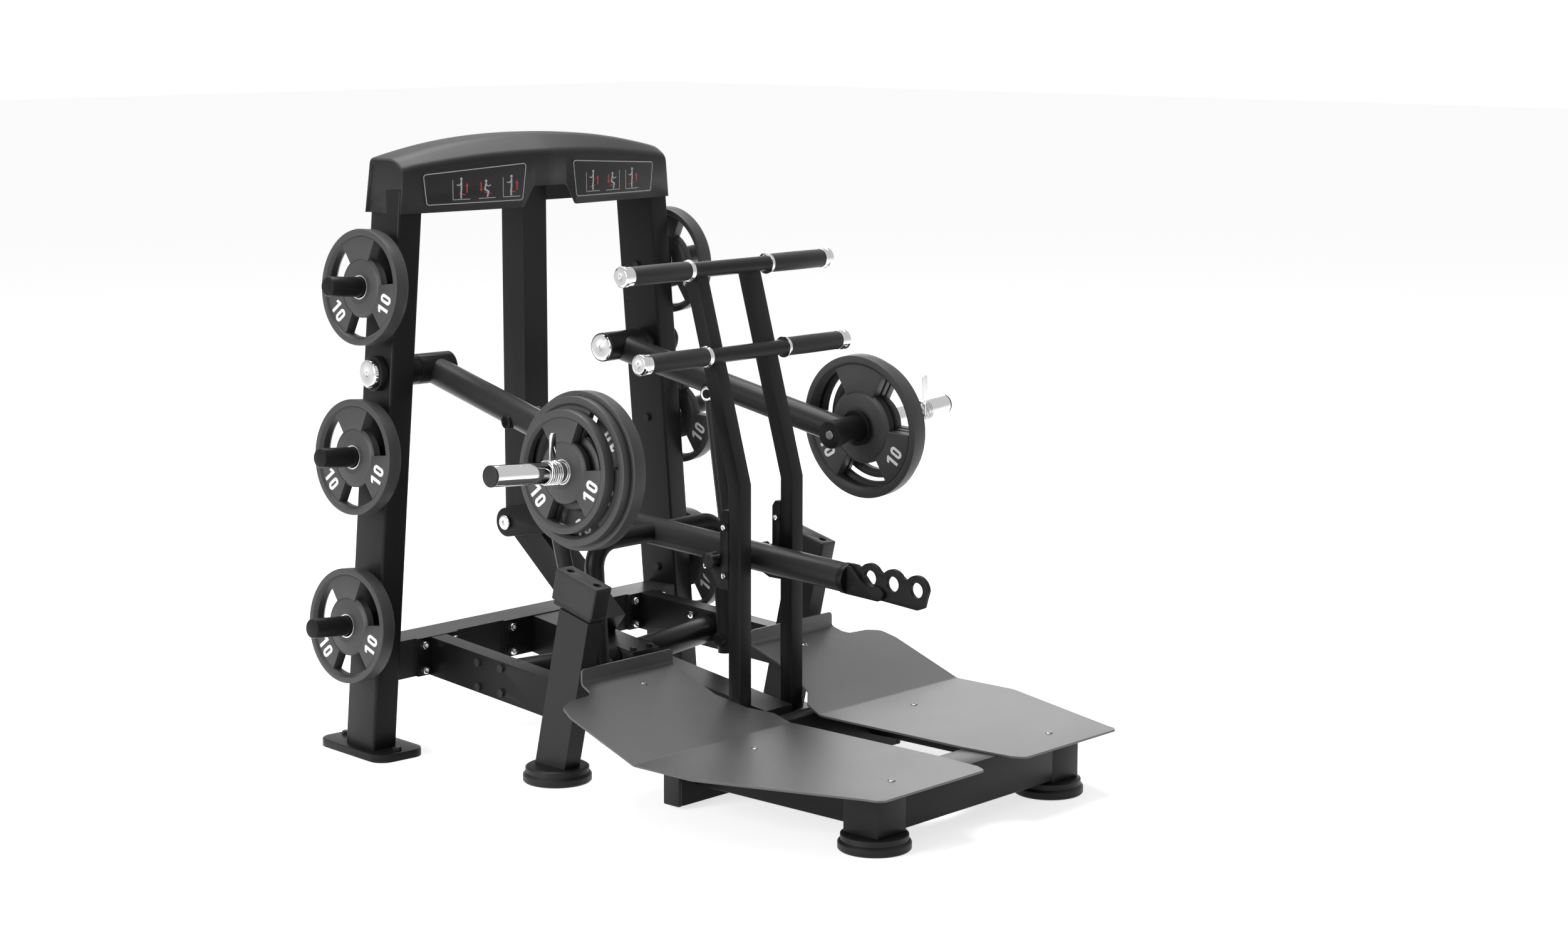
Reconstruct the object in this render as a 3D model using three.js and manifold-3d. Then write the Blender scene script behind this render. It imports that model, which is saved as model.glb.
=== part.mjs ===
// Belt squat machine with loaded plates.
// Millimetres, +Z up, the user's side is -Y, the uprights stand at +Y, X = 0 is the middle.
import * as THREE from 'three';
import { mergeVertices } from 'three/addons/utils/BufferGeometryUtils.js';
import Module from 'manifold-3d';

const wasm = await Module();
wasm.setup();

const turn = THREE.MathUtils.degToRad;

// Shared clearances
const touchGap = 0.3;
const runningGap = 0.5;
const overrun = 5;

// Uprights: rectangular tubes that lean inward and are turned a little outward
const uprightWidth = 70;
const uprightDepth = 120;
const uprightCorner = 7;
const uprightFootX = 540;
const uprightY = 1549.4;
const uprightTopZ = 1395;
const uprightLean = turn(5);
const uprightYaw = turn(5);
const basePlateWidth = 145;
const basePlateLength = 275;
const basePlateThickness = 11;
const basePlateCorner = 28;
const basePlateInset = 18;
const basePlateSetback = 17.6;
const basePlateX = uprightFootX - basePlateInset;
const basePlateY = uprightY + basePlateSetback;
const hornBoltRadius = 11;
const hornBoltHeight = 9;
const hornBoltStemRadius = 7;
const hornBoltStemLength = 8;

// Rear crossbeam
const crossbeamDepth = 92;
const crossbeamHeight = 96.5;
const crossbeamForward = 11.4;
const crossbeamY = uprightY - crossbeamForward;
const crossbeamZ = 233.2;

// Rear post, its brace and the bush of the belt arm
const postSize = 80;
const postForward = 0.4;
const postY = uprightY - postForward;
const postBottomZ = 480;
const braceSize = 80;
const braceAngle = turn(40);
const braceForward = 17.3;
const braceTopY = postY - braceForward;
const braceTopZ = 508.4;
const braceLength = 362;
const beltPivotSetback = 28;
const beltPivotY = postY + beltPivotSetback;
const beltPivotZ = 514;
const beltBushRadius = 30;
const beltAxleRadius = 14;
const beltCapRadius = 19;
const beltCapWidth = 8;

// Centre beam, seen from the rear it falls toward the platform
const centreBeamWidth = 94;
const centreBeamHeight = 96;
const centreBeamRearZ = 281;
const centreBeamSlope = turn(8);
const centreFlangeWidth = 290;
const centreFlangeThickness = 10;
const postFlangeWidth = centreBeamWidth;
const postFlangeForward = 433;
const postFlangeLength = 214;
const postFlangeFrontY = postY - postFlangeForward;
const postFlangeRearY = postFlangeFrontY + postFlangeLength;
const postFlangeThickness = 10;

// Side beams
const sideBeamWidth = 50;
const sideBeamHeight = 98;
const sideBeamRearX = 370;
const sideBeamSplay = turn(2.9);
const sideBeamSlope = turn(3.7);
const sideFlangeWidth = 134;
const sideFlangeX = 370;
const flangeBoltZ = [264, 201];
const sideFlangeBoltSpread = 100;
const centreFlangeBoltSpread = 250;
const boltRadius = 9;
const boltHead = 7;

// Cross tubes between centre beam and side beams
const crossTubeRadius = 35;
const crossTubeZ = 216;
const crossTubeInnerY = 1187;
const crossTubeOuterY = 1247;
const crossPlateLength = 132;
const crossPlateHeight = 92;
const crossPlateThickness = 8;
const crossBoltSpreadY = 89;
const crossBoltSpreadZ = 61;

// Middle legs, feet and stop blocks
const midLegDepth = 100;
const midLegWidth = 50;
const midLegX = 402;
const midLegY = 1018;
const midLegLean = turn(13.1);
const footRingRadius = 83;
const footRingHeight = 22;
const footDiscRadius = 77;
const footHeight = 38;
const stopWidth = 54;
const stopOuterX = 426;
const stopRearTopY = 991;
const stopRearTopZ = 525;
const stopLength = 142;
const stopHeight = 76;
const stopTilt = turn(14);
const stopStepHeight = 12;
const stopStepInset = 7;
const stopHoleRadius = 9;
const stopHoleDepth = 10;
const stopHoleSpread = 92;

// Platform frame
const platformLegSize = 100;
const platformLegX = 317;
const platformLegY = 86;
const plateUnderZ = 147;
const platformCrossHeight = 102;
const longBeamWidth = 50;
const longBeamHeight = 77;
const rearBeamDepth = 50;
const rearBeamFrontY = 612;
const rearBeamHalfLength = 385;
const rearBeamBottomZ = 8;
const rearCapLength = 15;
const railWidth = 50;
const railX = 290;
const railHeight = 40;
const railEndY = 866;

// Foot plates: flat, then rising, with a low lip at the rear
const footPlateThickness = 5;
const footPlateFrontY = -32;
const footPlateInnerX = 50;
const footPlateWidth = 530;
const footPlateLength = 921;
const footPlateBendY = 577;
const footPlateRise = turn(20.1);
const footLipHeight = 34;
const footScrewRadius = 9;
const footScrewHeight = 3;
const footScrewX = 287;
const footScrewY = [63, 476, 836];
const footOutlineShares = [
  [0.735, 0.04], [0.724, 0.014], [0.698, 0], [0.05, 0], [0.026, 0.012], [0.018, 0.035],
  [0, 0.1716], [0, 0.643], [0.004, 0.675], [0.023, 0.713], [0.06, 0.735], [0.113, 0.76],
  [0.145, 0.785], [0.163, 0.81], [0.177, 0.839], [0.17, 1], [0.745, 1], [0.751, 0.972],
  [0.762, 0.959], [0.781, 0.951], [0.881, 0.948], [0.94, 0.942], [0.972, 0.93],
  [0.99, 0.912], [1, 0.886], [1, 0.4636],
];

// Handle frame on its hinge in front of the centre beam's rise
const handleTube = 40;
const handleX = 92;
const handleFrontY = 686;
const handlePivotZ = 145;
const handleBendZ = 718;
const handleLean = turn(16.1);
const handleTopZ = 1228;
const handleBarRadius = 18.75;
const handleBarZ = [1222, 1022];
const handleBarHalf = 348;
const handleAxleRadius = 12;
const handleAxleHead = 17;
const handleAxleHeadWidth = 7;
const gripRadius = 23;
const gripInnerX = 144;
const gripLength = 188;
const gripCollarRadius = 26;
const gripCollarWidth = 11;
const gripCapRadius = 25;
const gripCapWidth = 29;

// Latch hooks behind the handle uprights and the pin that they hold
const hookHeight = 193;
const hookReach = 86;
const hookTopZ = 655;
const latchPinRadius = 13;
const latchPinY = 767;
const latchPinHalf = 124;
const latchDiscRadius = 18;
const latchDiscWidth = 14;
const hookCornerGap = 1;
const hookBackShares = [[0, 0.985], [0.2, 1], [0.25, 0.975], [0.31, 0.93]];
const hookLipShares = [[0.82, 0.4], [0.9, 0.42], [1, 0.385], [1, 0.18], [0.69, 0.05], [0.42, 0], [0, 0]];
const hookBoltRadius = 7;
const hookBoltLength = 16;
const hookBoltShares = [[0.1, 0.79], [0.79, 0.27], [0.1, 0.18]];

// Belt arm with its fork, yoke and clevis
const beltArmRadius = 35;
const beltArmForward = 125;
const beltArmRearY = beltPivotY - beltArmForward;
const beltArmFrontY = 444;
const beltArmDatumY = 1094.3;
const beltArmDatumZ = 546.9;
const beltArmSlope = turn(2.9);
const beltCapRing = 37;
const beltCapRingWidth = 9;
const beltCapRingOverlap = 8;
const forkThickness = 10;
const forkHeight = 76;
const forkForward = 162;
const forkFrontY = beltPivotY - forkForward;
const forkRise = turn(10.7);
const forkBlockForward = 103;
const forkBlockRearY = beltPivotY - forkBlockForward;
const forkBlockHeight = 62;
const yokeRadius = 24;
const yokeY = 1072;
const yokeZ = 548;
const yokeLegX = 225;
const yokeBend = 66;
const yokeEndY = 1050;
const yokeEndZ = 242;
const yokeTail = 37;
const yokeAxleRadius = 14;
const yokeAxleOverhang = 10;
const clevisThickness = 11;
const clevisShares = [
  [0, 1], [0.13, 1], [0.336, 0.718], [0.46, 0.48], [0.502, 0.429], [0.56, 0.435], [0.747, 0.484],
  [0.91, 0.454], [0.975, 0.4], [1, 0.31], [0.987, 0.18], [0.95, 0.08], [0.886, 0], [0, 0.07],
];
const clevisLength = 117.5;
const clevisHeight = 72.3;
const clevisBottomZ = 474.5;

// Belt hook plate with three holes
const beltPlateThickness = 12;
const beltHoleRadius = 18;
const beltLobeRadius = 35;
const beltHoleY = [371.5, 302.7, 230.6];
const beltHoleZ = [524.8, 519.4, 514.7];
const beltPlateTop = 18;
const beltPlateDrop = 47;
const beltHeelHeight = 22.4;
const beltHeelLength = 21;
const beltToeShares = [[0.8, 0.85], [0.65, 0.27], [0.07, 0]];

// Loading arms, their axles and the bosses that carry them
const armPivotInset = 130.5;
const armPivotForward = 19.4;
const armPivotZ = 949;
const armPivotX = uprightFootX - Math.tan(uprightLean) * armPivotZ - armPivotInset;
const armPivotY = uprightY - armPivotForward;
const armHubRadius = 38;
const armHubInners = { r: 73.5, l: 40 };
const armHubOuter = 60.5;
const armTubeRadius = 35;
const armRootOutward = 12.2;
const armRootForward = 130;
const armRootDrop = 33.9;
const armRootX = armPivotX + armRootOutward;
const armRootY = armPivotY - armRootForward;
const armRootZ = armPivotZ - armRootDrop;
const armElbowOutward = 67.5;
const armElbowForward = 725;
const armElbowDrop = 166.6;
const armElbowX = armPivotX + armElbowOutward;
const armElbowY = armPivotY - armElbowForward;
const armElbowZ = armPivotZ - armElbowDrop;
const armAxleRadius = 22;
const armBossLength = 48;
const armCapRadius = 35;
const armCapWidth = 6;
const armOuterCapLength = 37;
const armOuterRingRadius = 38;

// Sleeves for the loaded plates, tilted up at their tips
const sleeveTilt = turn(4.19);
const sleeveRadius = 25;
const sleeveHubRadius = 35;
const sleeveHubInner = 53;
const sleeveHubOuter = 55;
const sleeveFlangeRadius = 46;
const sleeveFlangeWidth = 9;
const sleeveLength = 349;
const sleeveChamfer = 2.5;

// Storage horns, square to the outer faces of the uprights
const hornRadius = 24.25;
const hornHeights = [1155, 741, 325];
const hornReach = 206;
const hornChamfer = 5;

// Plates: outer radius, rim, web and hub of each size
const plateSizes = {
  large: { radius: 184, thickness: 36, rim: 22, hub: 95 },
  medium: { radius: 172, thickness: 22.4, rim: 20, hub: 89 },
  small: { radius: 142, thickness: 30, rim: 17, hub: 74 },
  stored: { radius: 142, thickness: 38, rim: 17, hub: 74 },
};
const loadedPlateStands = { r: 4, l: 41.7 };
const storedPlateStands = [70, 67, 61];
const plateWeb = 16;
const plateHubWall = 2;
const plateWindowWall = 6;
const plateWindowSpan = turn(62);
const plateWindows = 3;

// Spring collars, each wound from one wire
const wireRadius = 3;
const collarTurns = 5.3;
const collarPitch = 9.4;
const collarStands = { r: 136, l: 11 };
const collarCurlSteps = 8;
const collarSides = 5;
const collarLeftTurn = turn(72.5);
const leverLength = 92;
const leverSplay = 14;

// Link rods between the loading arms and the yoke
const linkTopInset = 18.5;
const linkTopForward = 348;
const linkTopDrop = 96;
const linkTopX = armPivotX - linkTopInset;
const linkTopY = armPivotY - linkTopForward;
const linkTopZ = armPivotZ - linkTopDrop;
const linkEndOutward = 47;
const linkEndX = yokeLegX + linkEndOutward;
const linkEyeWidth = 20;
const linkTopEyeRadius = 29;
const linkEndEyeWidth = 38;
const linkEndEyeRadius = 27;
const linkRodRadius = 19.5;
const linkPinRadius = 12;
const linkWasherRadius = 17;
const linkCapRadius = 20;
const linkCapWidth = 9;
const linkPinOverhang = 73.5;
const linkPinOuterX = armPivotX + linkPinOverhang;

// Hood over the uprights
const hoodWall = 3;
const hoodOverlap = 56.4;
const hoodFrontRise = 84;
const hoodCrownRise = 126;
const hoodNotchHeight = 52.4;
const hoodBottomZ = uprightTopZ - hoodOverlap;
const hoodFrontTopZ = uprightTopZ + hoodFrontRise;
const hoodCrownZ = uprightTopZ + hoodCrownRise;
const hoodNotchTopZ = hoodBottomZ + hoodNotchHeight;
const hoodSideGap = 3;
const hoodEndDraft = 4;
const hoodForward = 105.7;
const hoodRidgeForward = 27.4;
const hoodRidgeSetback = 32.6;
const hoodTopSetback = 63.6;
const hoodSetback = 70.6;
const hoodFrontY = uprightY - hoodForward;
const hoodRidgeFrontY = uprightY - hoodRidgeForward;
const hoodRidgeRearY = uprightY + hoodRidgeSetback;
const hoodRearTopY = uprightY + hoodTopSetback;
const hoodRearBottomY = uprightY + hoodSetback;
const hoodFrontSlope = 0.0895;
const hoodNotchTopHalf = 58;
const hoodNotchBottomHalf = 89;
const hoodRearDrop = 1.5;
const hoodStationShares = [0, 0.16, 0.33, 0.5, 0.66, 0.78, 0.88, 0.96, 1];
const hoodFrontDropShares = [0, 0.005, 0.02, 0.045, 0.08, 0.11, 0.135, 0.165, 0.19];
const hoodCrownDropShares = [0, 0.006, 0.025, 0.061, 0.112, 0.162, 0.21, 0.252, 0.278];

// Counts of sides on round work
const fineSides = 20;
const roundSides = 14;
const smallSides = 10;
const boltSides = 6;
const cornerSteps = 2;
const windowSteps = 3;
const yokeBendSteps = 5;

const powderBlack = { color: 0x17181a, roughness: 0.42, metalness: 0.35 };
const satinBlack = { color: 0x1b1c1e, roughness: 0.5, metalness: 0.25 };
const gripBlack = { color: 0x202124, roughness: 0.75, metalness: 0 };
const rubberBlack = { color: 0x131315, roughness: 0.85, metalness: 0 };
const plateGrey = { color: 0x2b2c2e, roughness: 0.6, metalness: 0.1 };
const chrome = { color: 0xd9dadc, roughness: 0.12, metalness: 1 };
const hoodBlack = { color: 0x222326, roughness: 0.55, metalness: 0.05 };
const treadBlack = { color: 0x2a2b2e, roughness: 0.8, metalness: 0.2 };

// Solids

const solidOf = (geometry) => {
  const plain = geometry.clone();
  plain.deleteAttribute('normal');
  plain.deleteAttribute('uv');
  const merged = mergeVertices(plain);
  const corners = merged.index.array;
  const kept = [];
  for (let i = 0; i < corners.length; i += 3) {
    const [a, b, c] = [corners[i], corners[i + 1], corners[i + 2]];
    if (a !== b && b !== c && c !== a) {
      kept.push(a, b, c);
    }
  }
  return new wasm.Manifold(new wasm.Mesh({
    numProp: 3,
    vertProperties: Float32Array.from(merged.attributes.position.array),
    triVerts: Uint32Array.from(kept),
  }));
};

const geometryOf = (solid) => {
  const mesh = solid.getMesh();
  const geometry = new THREE.BufferGeometry();
  geometry.setAttribute('position', new THREE.BufferAttribute(mesh.vertProperties, 3));
  geometry.setIndex(new THREE.BufferAttribute(mesh.triVerts, 1));
  geometry.computeVertexNormals();
  return geometry;
};

const joined = (first, ...others) => others.reduce((sum, next) => sum.add(next), first);

const cut = (first, ...others) => others.reduce((rest, next) => rest.subtract(next), first);

const point = (x, y, z) => new THREE.Vector3(x, y, z);

const block = (low, high) => {
  const size = high.clone().sub(low);
  const middle = low.clone().add(high).multiplyScalar(0.5);
  const geometry = new THREE.BoxGeometry(size.x, size.y, size.z);
  return solidOf(geometry.translate(middle.x, middle.y, middle.z));
};

const rod = (start, end, radius, sides = roundSides, endRadius = radius) => {
  const along = end.clone().sub(start);
  const geometry = new THREE.CylinderGeometry(endRadius, radius, along.length(), sides);
  const up = point(0, 1, 0);
  geometry.applyQuaternion(new THREE.Quaternion().setFromUnitVectors(up, along.clone().normalize()));
  const middle = start.clone().add(end).multiplyScalar(0.5);
  return solidOf(geometry.translate(middle.x, middle.y, middle.z));
};

// A round bore that clears a round pin whose sides are flats too
const boreRadius = (radius, sides = roundSides, gap = touchGap) => (
  (radius + gap) / Math.cos(Math.PI / sides)
);

// A bar of square section from start to end, its sides square to X where it lies in a YZ plane
const bar = (start, end, width, height) => {
  const along = end.clone().sub(start);
  const forward = along.clone().normalize();
  const side = point(1, 0, 0).addScaledVector(forward, -forward.x).normalize();
  const up = new THREE.Vector3().crossVectors(side, forward);
  const basis = new THREE.Matrix4().makeBasis(side, forward, up);
  const geometry = new THREE.BoxGeometry(width, along.length(), height).applyMatrix4(basis);
  const middle = start.clone().add(end).multiplyScalar(0.5);
  return solidOf(geometry.translate(middle.x, middle.y, middle.z));
};

const shapeOf = (corners) => new THREE.Shape(corners.map(([x, y]) => new THREE.Vector2(x, y)));

const extruded = (shape, depth) => (
  new THREE.ExtrudeGeometry(shape, { depth, bevelEnabled: false, curveSegments: cornerSteps })
);

// An outline of Y and Z places, extruded along X
const sidePrism = (corners, lowX, highX) => {
  const basis = new THREE.Matrix4().makeBasis(point(0, 1, 0), point(0, 0, 1), point(1, 0, 0));
  const geometry = extruded(shapeOf(corners), highX - lowX).applyMatrix4(basis);
  return solidOf(geometry.translate(lowX, 0, 0));
};

// An outline of X and Z places, extruded along Y
const frontPrism = (corners, lowY, highY) => {
  const basis = new THREE.Matrix4().makeBasis(point(1, 0, 0), point(0, 0, 1), point(0, -1, 0));
  const geometry = extruded(shapeOf(corners), highY - lowY).applyMatrix4(basis);
  return solidOf(geometry.translate(0, highY, 0));
};

// An outline of X and Y places, extruded upward
const planPrism = (corners, lowZ, highZ) => (
  solidOf(extruded(shapeOf(corners), highZ - lowZ).translate(0, 0, lowZ))
);

const roundedRectangle = (width, depth, radius) => {
  const shape = new THREE.Shape();
  const [x, y] = [width / 2 - radius, depth / 2 - radius];
  shape.absarc(x, y, radius, 0, Math.PI / 2, false);
  shape.absarc(-x, y, radius, Math.PI / 2, Math.PI, false);
  shape.absarc(-x, -y, radius, Math.PI, Math.PI * 1.5, false);
  shape.absarc(x, -y, radius, Math.PI * 1.5, Math.PI * 2, false);
  return shape;
};

// A route through given points, whose steps fall on the points themselves
class Route extends THREE.Curve {
  constructor(points) {
    super();
    this.points = points;
  }

  getPoint(t) {
    const place = t * (this.points.length - 1);
    const index = Math.min(Math.floor(place), this.points.length - 2);
    return this.points[index].clone().lerp(this.points[index + 1], place - index);
  }

  getPointAt(u) {
    return this.getPoint(u);
  }

  getTangentAt(u) {
    const index = Math.round(u * (this.points.length - 1));
    const here = this.points[index];
    const before = this.points[Math.max(index - 1, 0)];
    const after = this.points[Math.min(index + 1, this.points.length - 1)];
    const incoming = here.clone().sub(before).normalize();
    const outgoing = after.clone().sub(here).normalize();
    return incoming.add(outgoing).normalize();
  }
}

const tubeAlong = (points, radius, sides) => {
  const ring = [];
  for (let i = 0; i < sides; i += 1) {
    const angle = (i / sides) * Math.PI * 2;
    ring.push([radius * Math.cos(angle), radius * Math.sin(angle)]);
  }
  const geometry = new THREE.ExtrudeGeometry(shapeOf(ring), {
    steps: points.length - 1,
    bevelEnabled: false,
    extrudePath: new Route(points),
  });
  return solidOf(geometry);
};

// Points of a round bend from one straight run to the next
const bend = (before, corner, after, radius, steps) => {
  const incoming = before.clone().sub(corner).normalize();
  const outgoing = after.clone().sub(corner).normalize();
  const half = incoming.angleTo(outgoing) / 2;
  const start = corner.clone().addScaledVector(incoming, radius / Math.tan(half));
  const axis = incoming.clone().add(outgoing).normalize();
  const centre = corner.clone().addScaledVector(axis, radius / Math.sin(half));
  const spoke = start.clone().sub(centre);
  const normal = new THREE.Vector3().crossVectors(incoming, outgoing).normalize();
  const sweep = Math.PI - 2 * half;
  const points = [];
  for (let i = 0; i <= steps; i += 1) {
    points.push(spoke.clone().applyAxisAngle(normal, -sweep * (i / steps)).add(centre));
  }
  return points;
};

// Sections of equal length joined one to the next, closed by fans at both ends
const loft = (sections) => {
  const count = sections[0].length;
  const positions = sections.flat().flatMap((corner) => [corner.x, corner.y, corner.z]);
  const faces = [];
  for (let s = 0; s < sections.length - 1; s += 1) {
    for (let i = 0; i < count; i += 1) {
      const next = (i + 1) % count;
      const [a, b] = [s * count + i, s * count + next];
      const [c, d] = [a + count, b + count];
      faces.push(a, b, d, a, d, c);
    }
  }
  const last = (sections.length - 1) * count;
  for (let i = 1; i < count - 1; i += 1) {
    faces.push(0, i + 1, i, last, last + i, last + i + 1);
  }
  const geometry = new THREE.BufferGeometry();
  geometry.setAttribute('position', new THREE.Float32BufferAttribute(positions, 3));
  geometry.setIndex(faces);
  return solidOf(geometry);
};

const mirrored = (solid) => {
  const geometry = geometryOf(solid).scale(-1, 1, 1);
  const corners = geometry.index.array;
  for (let i = 0; i < corners.length; i += 3) {
    [corners[i], corners[i + 1]] = [corners[i + 1], corners[i]];
  }
  return solidOf(geometry);
};

// Assembly

const machine = new THREE.Group();

const addMesh = (parent, name, solid, material) => {
  const mesh = new THREE.Mesh(geometryOf(solid), new THREE.MeshStandardMaterial(material));
  mesh.name = name;
  parent.add(mesh);
  return mesh;
};

const addPair = (name, solid, material) => {
  addMesh(machine, `${name}_r`, solid, material);
  addMesh(machine, `${name}_l`, mirrored(solid), material);
};

// Frames that carry round pieces along their own X: right as it is, left turned half round
const sideFrames = (place, axis) => ['r', 'l'].map((side) => {
  const frame = new THREE.Group();
  const outward = side === 'r' ? 1 : -1;
  frame.position.set(outward * place.x, place.y, place.z);
  const direction = point(outward * axis.x, axis.y, axis.z);
  const heading = new THREE.Quaternion().setFromAxisAngle(point(0, 0, 1), side === 'r' ? 0 : Math.PI);
  frame.quaternion.setFromUnitVectors(point(outward, 0, 0), direction).multiply(heading);
  machine.add(frame);
  return { side, frame };
});

// Frame: uprights

const leanAt = (z) => uprightFootX - Math.tan(uprightLean) * z;

const uprightTube = (grow) => {
  const corner = uprightCorner + grow;
  const shape = roundedRectangle(uprightWidth + 2 * grow, uprightDepth + 2 * grow, corner);
  const geometry = extruded(shape, uprightTopZ + grow);
  geometry.rotateZ(uprightYaw);
  const shear = new THREE.Matrix4().makeShear(0, 0, 0, 0, -Math.tan(uprightLean), 0);
  geometry.applyMatrix4(shear);
  return solidOf(geometry.translate(uprightFootX, uprightY, 0));
};

const armAxis = point(Math.cos(uprightYaw), Math.sin(uprightYaw), 0);
const armPivot = point(armPivotX, armPivotY, armPivotZ);
const onArmAxis = (distance) => armPivot.clone().addScaledVector(armAxis, distance);

// Distances along the arm's pivot axis of the inner and outer faces of the upright
const uprightInnerAt = (leanAt(armPivotZ) - armPivotX) / armAxis.x - uprightWidth / 2;
const uprightOuterAt = uprightInnerAt + uprightWidth + armCapWidth;
const leanNormal = point(Math.cos(uprightLean), 0, Math.sin(uprightLean));

const uprightSolid = () => {
  const base = roundedRectangle(basePlateWidth, basePlateLength, basePlateCorner);
  const baseGeometry = extruded(base, basePlateThickness).rotateZ(uprightYaw);
  let solid = joined(uprightTube(0), solidOf(baseGeometry.translate(basePlateX, basePlateY, 0)));
  const bossStart = armHubOuter + runningGap;
  solid = joined(solid, rod(onArmAxis(bossStart), onArmAxis(bossStart + armBossLength), armHubRadius));
  for (const z of hornHeights) {
    const inward = point(-Math.cos(uprightYaw), -Math.sin(uprightYaw), 0);
    const face = point(leanAt(z), uprightY, z).addScaledVector(inward, uprightWidth / 2 - overrun);
    const neck = face.clone().addScaledVector(inward, overrun + hornBoltStemLength);
    const tip = neck.clone().addScaledVector(inward, hornBoltHeight);
    solid = joined(solid, rod(face, neck, hornBoltStemRadius, smallSides));
    const headStart = neck.clone().addScaledVector(inward, -hornBoltStemLength / 3);
    solid = joined(solid, rod(headStart, tip, hornBoltRadius, boltSides));
  }
  const bore = boreRadius(armAxleRadius);
  return cut(solid, rod(onArmAxis(0), onArmAxis(uprightOuterAt + uprightWidth), bore));
};
addPair('upright', uprightSolid(), powderBlack);

const axleSolid = (side) => {
  const innerFace = -armHubInners[side] - runningGap;
  const outerFace = uprightOuterAt + touchGap;
  const inner = rod(onArmAxis(innerFace - armCapWidth), onArmAxis(innerFace), armCapRadius);
  const ring = rod(onArmAxis(outerFace), onArmAxis(outerFace + armCapWidth * 2), armOuterRingRadius);
  const outerStart = outerFace + armCapWidth;
  const outer = rod(onArmAxis(outerStart), onArmAxis(outerFace + armOuterCapLength), armCapRadius);
  const shaftStart = innerFace - armCapWidth / 2;
  const shaft = rod(onArmAxis(shaftStart), onArmAxis(outerStart + armCapWidth / 2), armAxleRadius);
  return joined(inner, ring, outer, shaft);
};
addMesh(machine, 'pivot_axle_r', axleSolid('r'), chrome);
addMesh(machine, 'pivot_axle_l', mirrored(axleSolid('l')), chrome);

// Frame: rear crossbeam, post and beams

const crossbeamLow = crossbeamZ - crossbeamHeight / 2;
const crossbeamFrontY = crossbeamY - crossbeamDepth / 2;
const crossbeamBlank = block(
  point(-uprightFootX, crossbeamFrontY, crossbeamLow),
  point(uprightFootX, crossbeamY + crossbeamDepth / 2, crossbeamLow + crossbeamHeight),
);
const grownUpright = uprightTube(touchGap);
const crossbeamOutside = (sign) => block(
  point(Math.min(0, sign * 2 * uprightFootX), 0, 0),
  point(Math.max(0, sign * 2 * uprightFootX), 2 * uprightY, uprightTopZ),
);
const crossbeamHalf = cut(crossbeamBlank.intersect(crossbeamOutside(1)), grownUpright);
const crossbeamRight = crossbeamHalf.decompose().reduce((best, next) => (
  next.volume() > best.volume() ? next : best
));
addMesh(machine, 'rear_crossbeam', joined(crossbeamRight, mirrored(crossbeamRight)), powderBlack);

const beamNormal = point(0, -Math.sin(centreBeamSlope), Math.cos(centreBeamSlope));
const centreBeamTop = (y) => (
  centreBeamRearZ - Math.tan(centreBeamSlope) * (crossbeamFrontY - y)
);

const centreBeamStart = crossbeamFrontY - touchGap;
const centreBeamEnd = rearBeamFrontY + rearBeamDepth + touchGap;
const centreBeamOutline = (grow) => {
  const [rear, front] = [centreBeamStart, centreBeamEnd];
  const drop = centreBeamHeight / Math.cos(centreBeamSlope) + grow;
  return [
    [front, centreBeamTop(front) - drop], [rear, centreBeamTop(rear) - drop],
    [rear, centreBeamTop(rear) + grow], [front, centreBeamTop(front) + grow],
  ];
};
const centreBeamTube = (grow) => (
  sidePrism(centreBeamOutline(grow), -centreBeamWidth / 2 - grow, centreBeamWidth / 2 + grow)
);

const rearColumnSolid = () => {
  const half = postSize / 2;
  const post = block(
    point(-half, postY - half, postBottomZ),
    point(half, postY + half, uprightTopZ),
  );
  const braceTop = point(0, braceTopY, braceTopZ);
  const braceDirection = point(0, -Math.cos(braceAngle), -Math.sin(braceAngle));
  const braceEnd = braceTop.clone().addScaledVector(braceDirection, braceLength);
  const brace = bar(braceTop, braceEnd, braceSize - 2 * touchGap, braceSize);
  const above = centreBeamTop(0) + touchGap;
  const rise = Math.tan(centreBeamSlope);
  const overBeam = sidePrism([
    [0, above], [2 * postY, above + 2 * postY * rise], [2 * postY, 2 * uprightTopZ],
    [0, 2 * uprightTopZ],
  ], -postSize, postSize);
  const flangeLow = (y) => centreBeamTop(y) + touchGap;
  const flange = sidePrism([
    [postFlangeFrontY, flangeLow(postFlangeFrontY)],
    [postFlangeRearY, flangeLow(postFlangeRearY)],
    [postFlangeRearY, flangeLow(postFlangeRearY) + postFlangeThickness],
    [postFlangeFrontY, flangeLow(postFlangeFrontY) + postFlangeThickness],
  ], -postFlangeWidth / 2, postFlangeWidth / 2);
  const bush = rod(
    point(-half, beltPivotY, beltPivotZ),
    point(half, beltPivotY, beltPivotZ),
    beltBushRadius,
  );
  let solid = joined(post, brace, bush).intersect(overBeam);
  solid = joined(solid, flange);
  for (const side of [-1, 1]) {
    for (const y of [postFlangeFrontY + 2 * boltRadius, postFlangeRearY - 2 * boltRadius]) {
      const seat = point(side * (postFlangeWidth / 2 - 2 * boltRadius), y, flangeLow(y));
      const head = seat.clone().addScaledVector(beamNormal, postFlangeThickness + boltHead);
      solid = joined(solid, rod(seat.addScaledVector(beamNormal, boltHead), head, boltRadius, boltSides));
    }
  }
  return cut(solid, rod(
    point(-postSize, beltPivotY, beltPivotZ),
    point(postSize, beltPivotY, beltPivotZ),
    boreRadius(beltAxleRadius),
  ));
};
addMesh(machine, 'rear_column', rearColumnSolid(), powderBlack);

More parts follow.
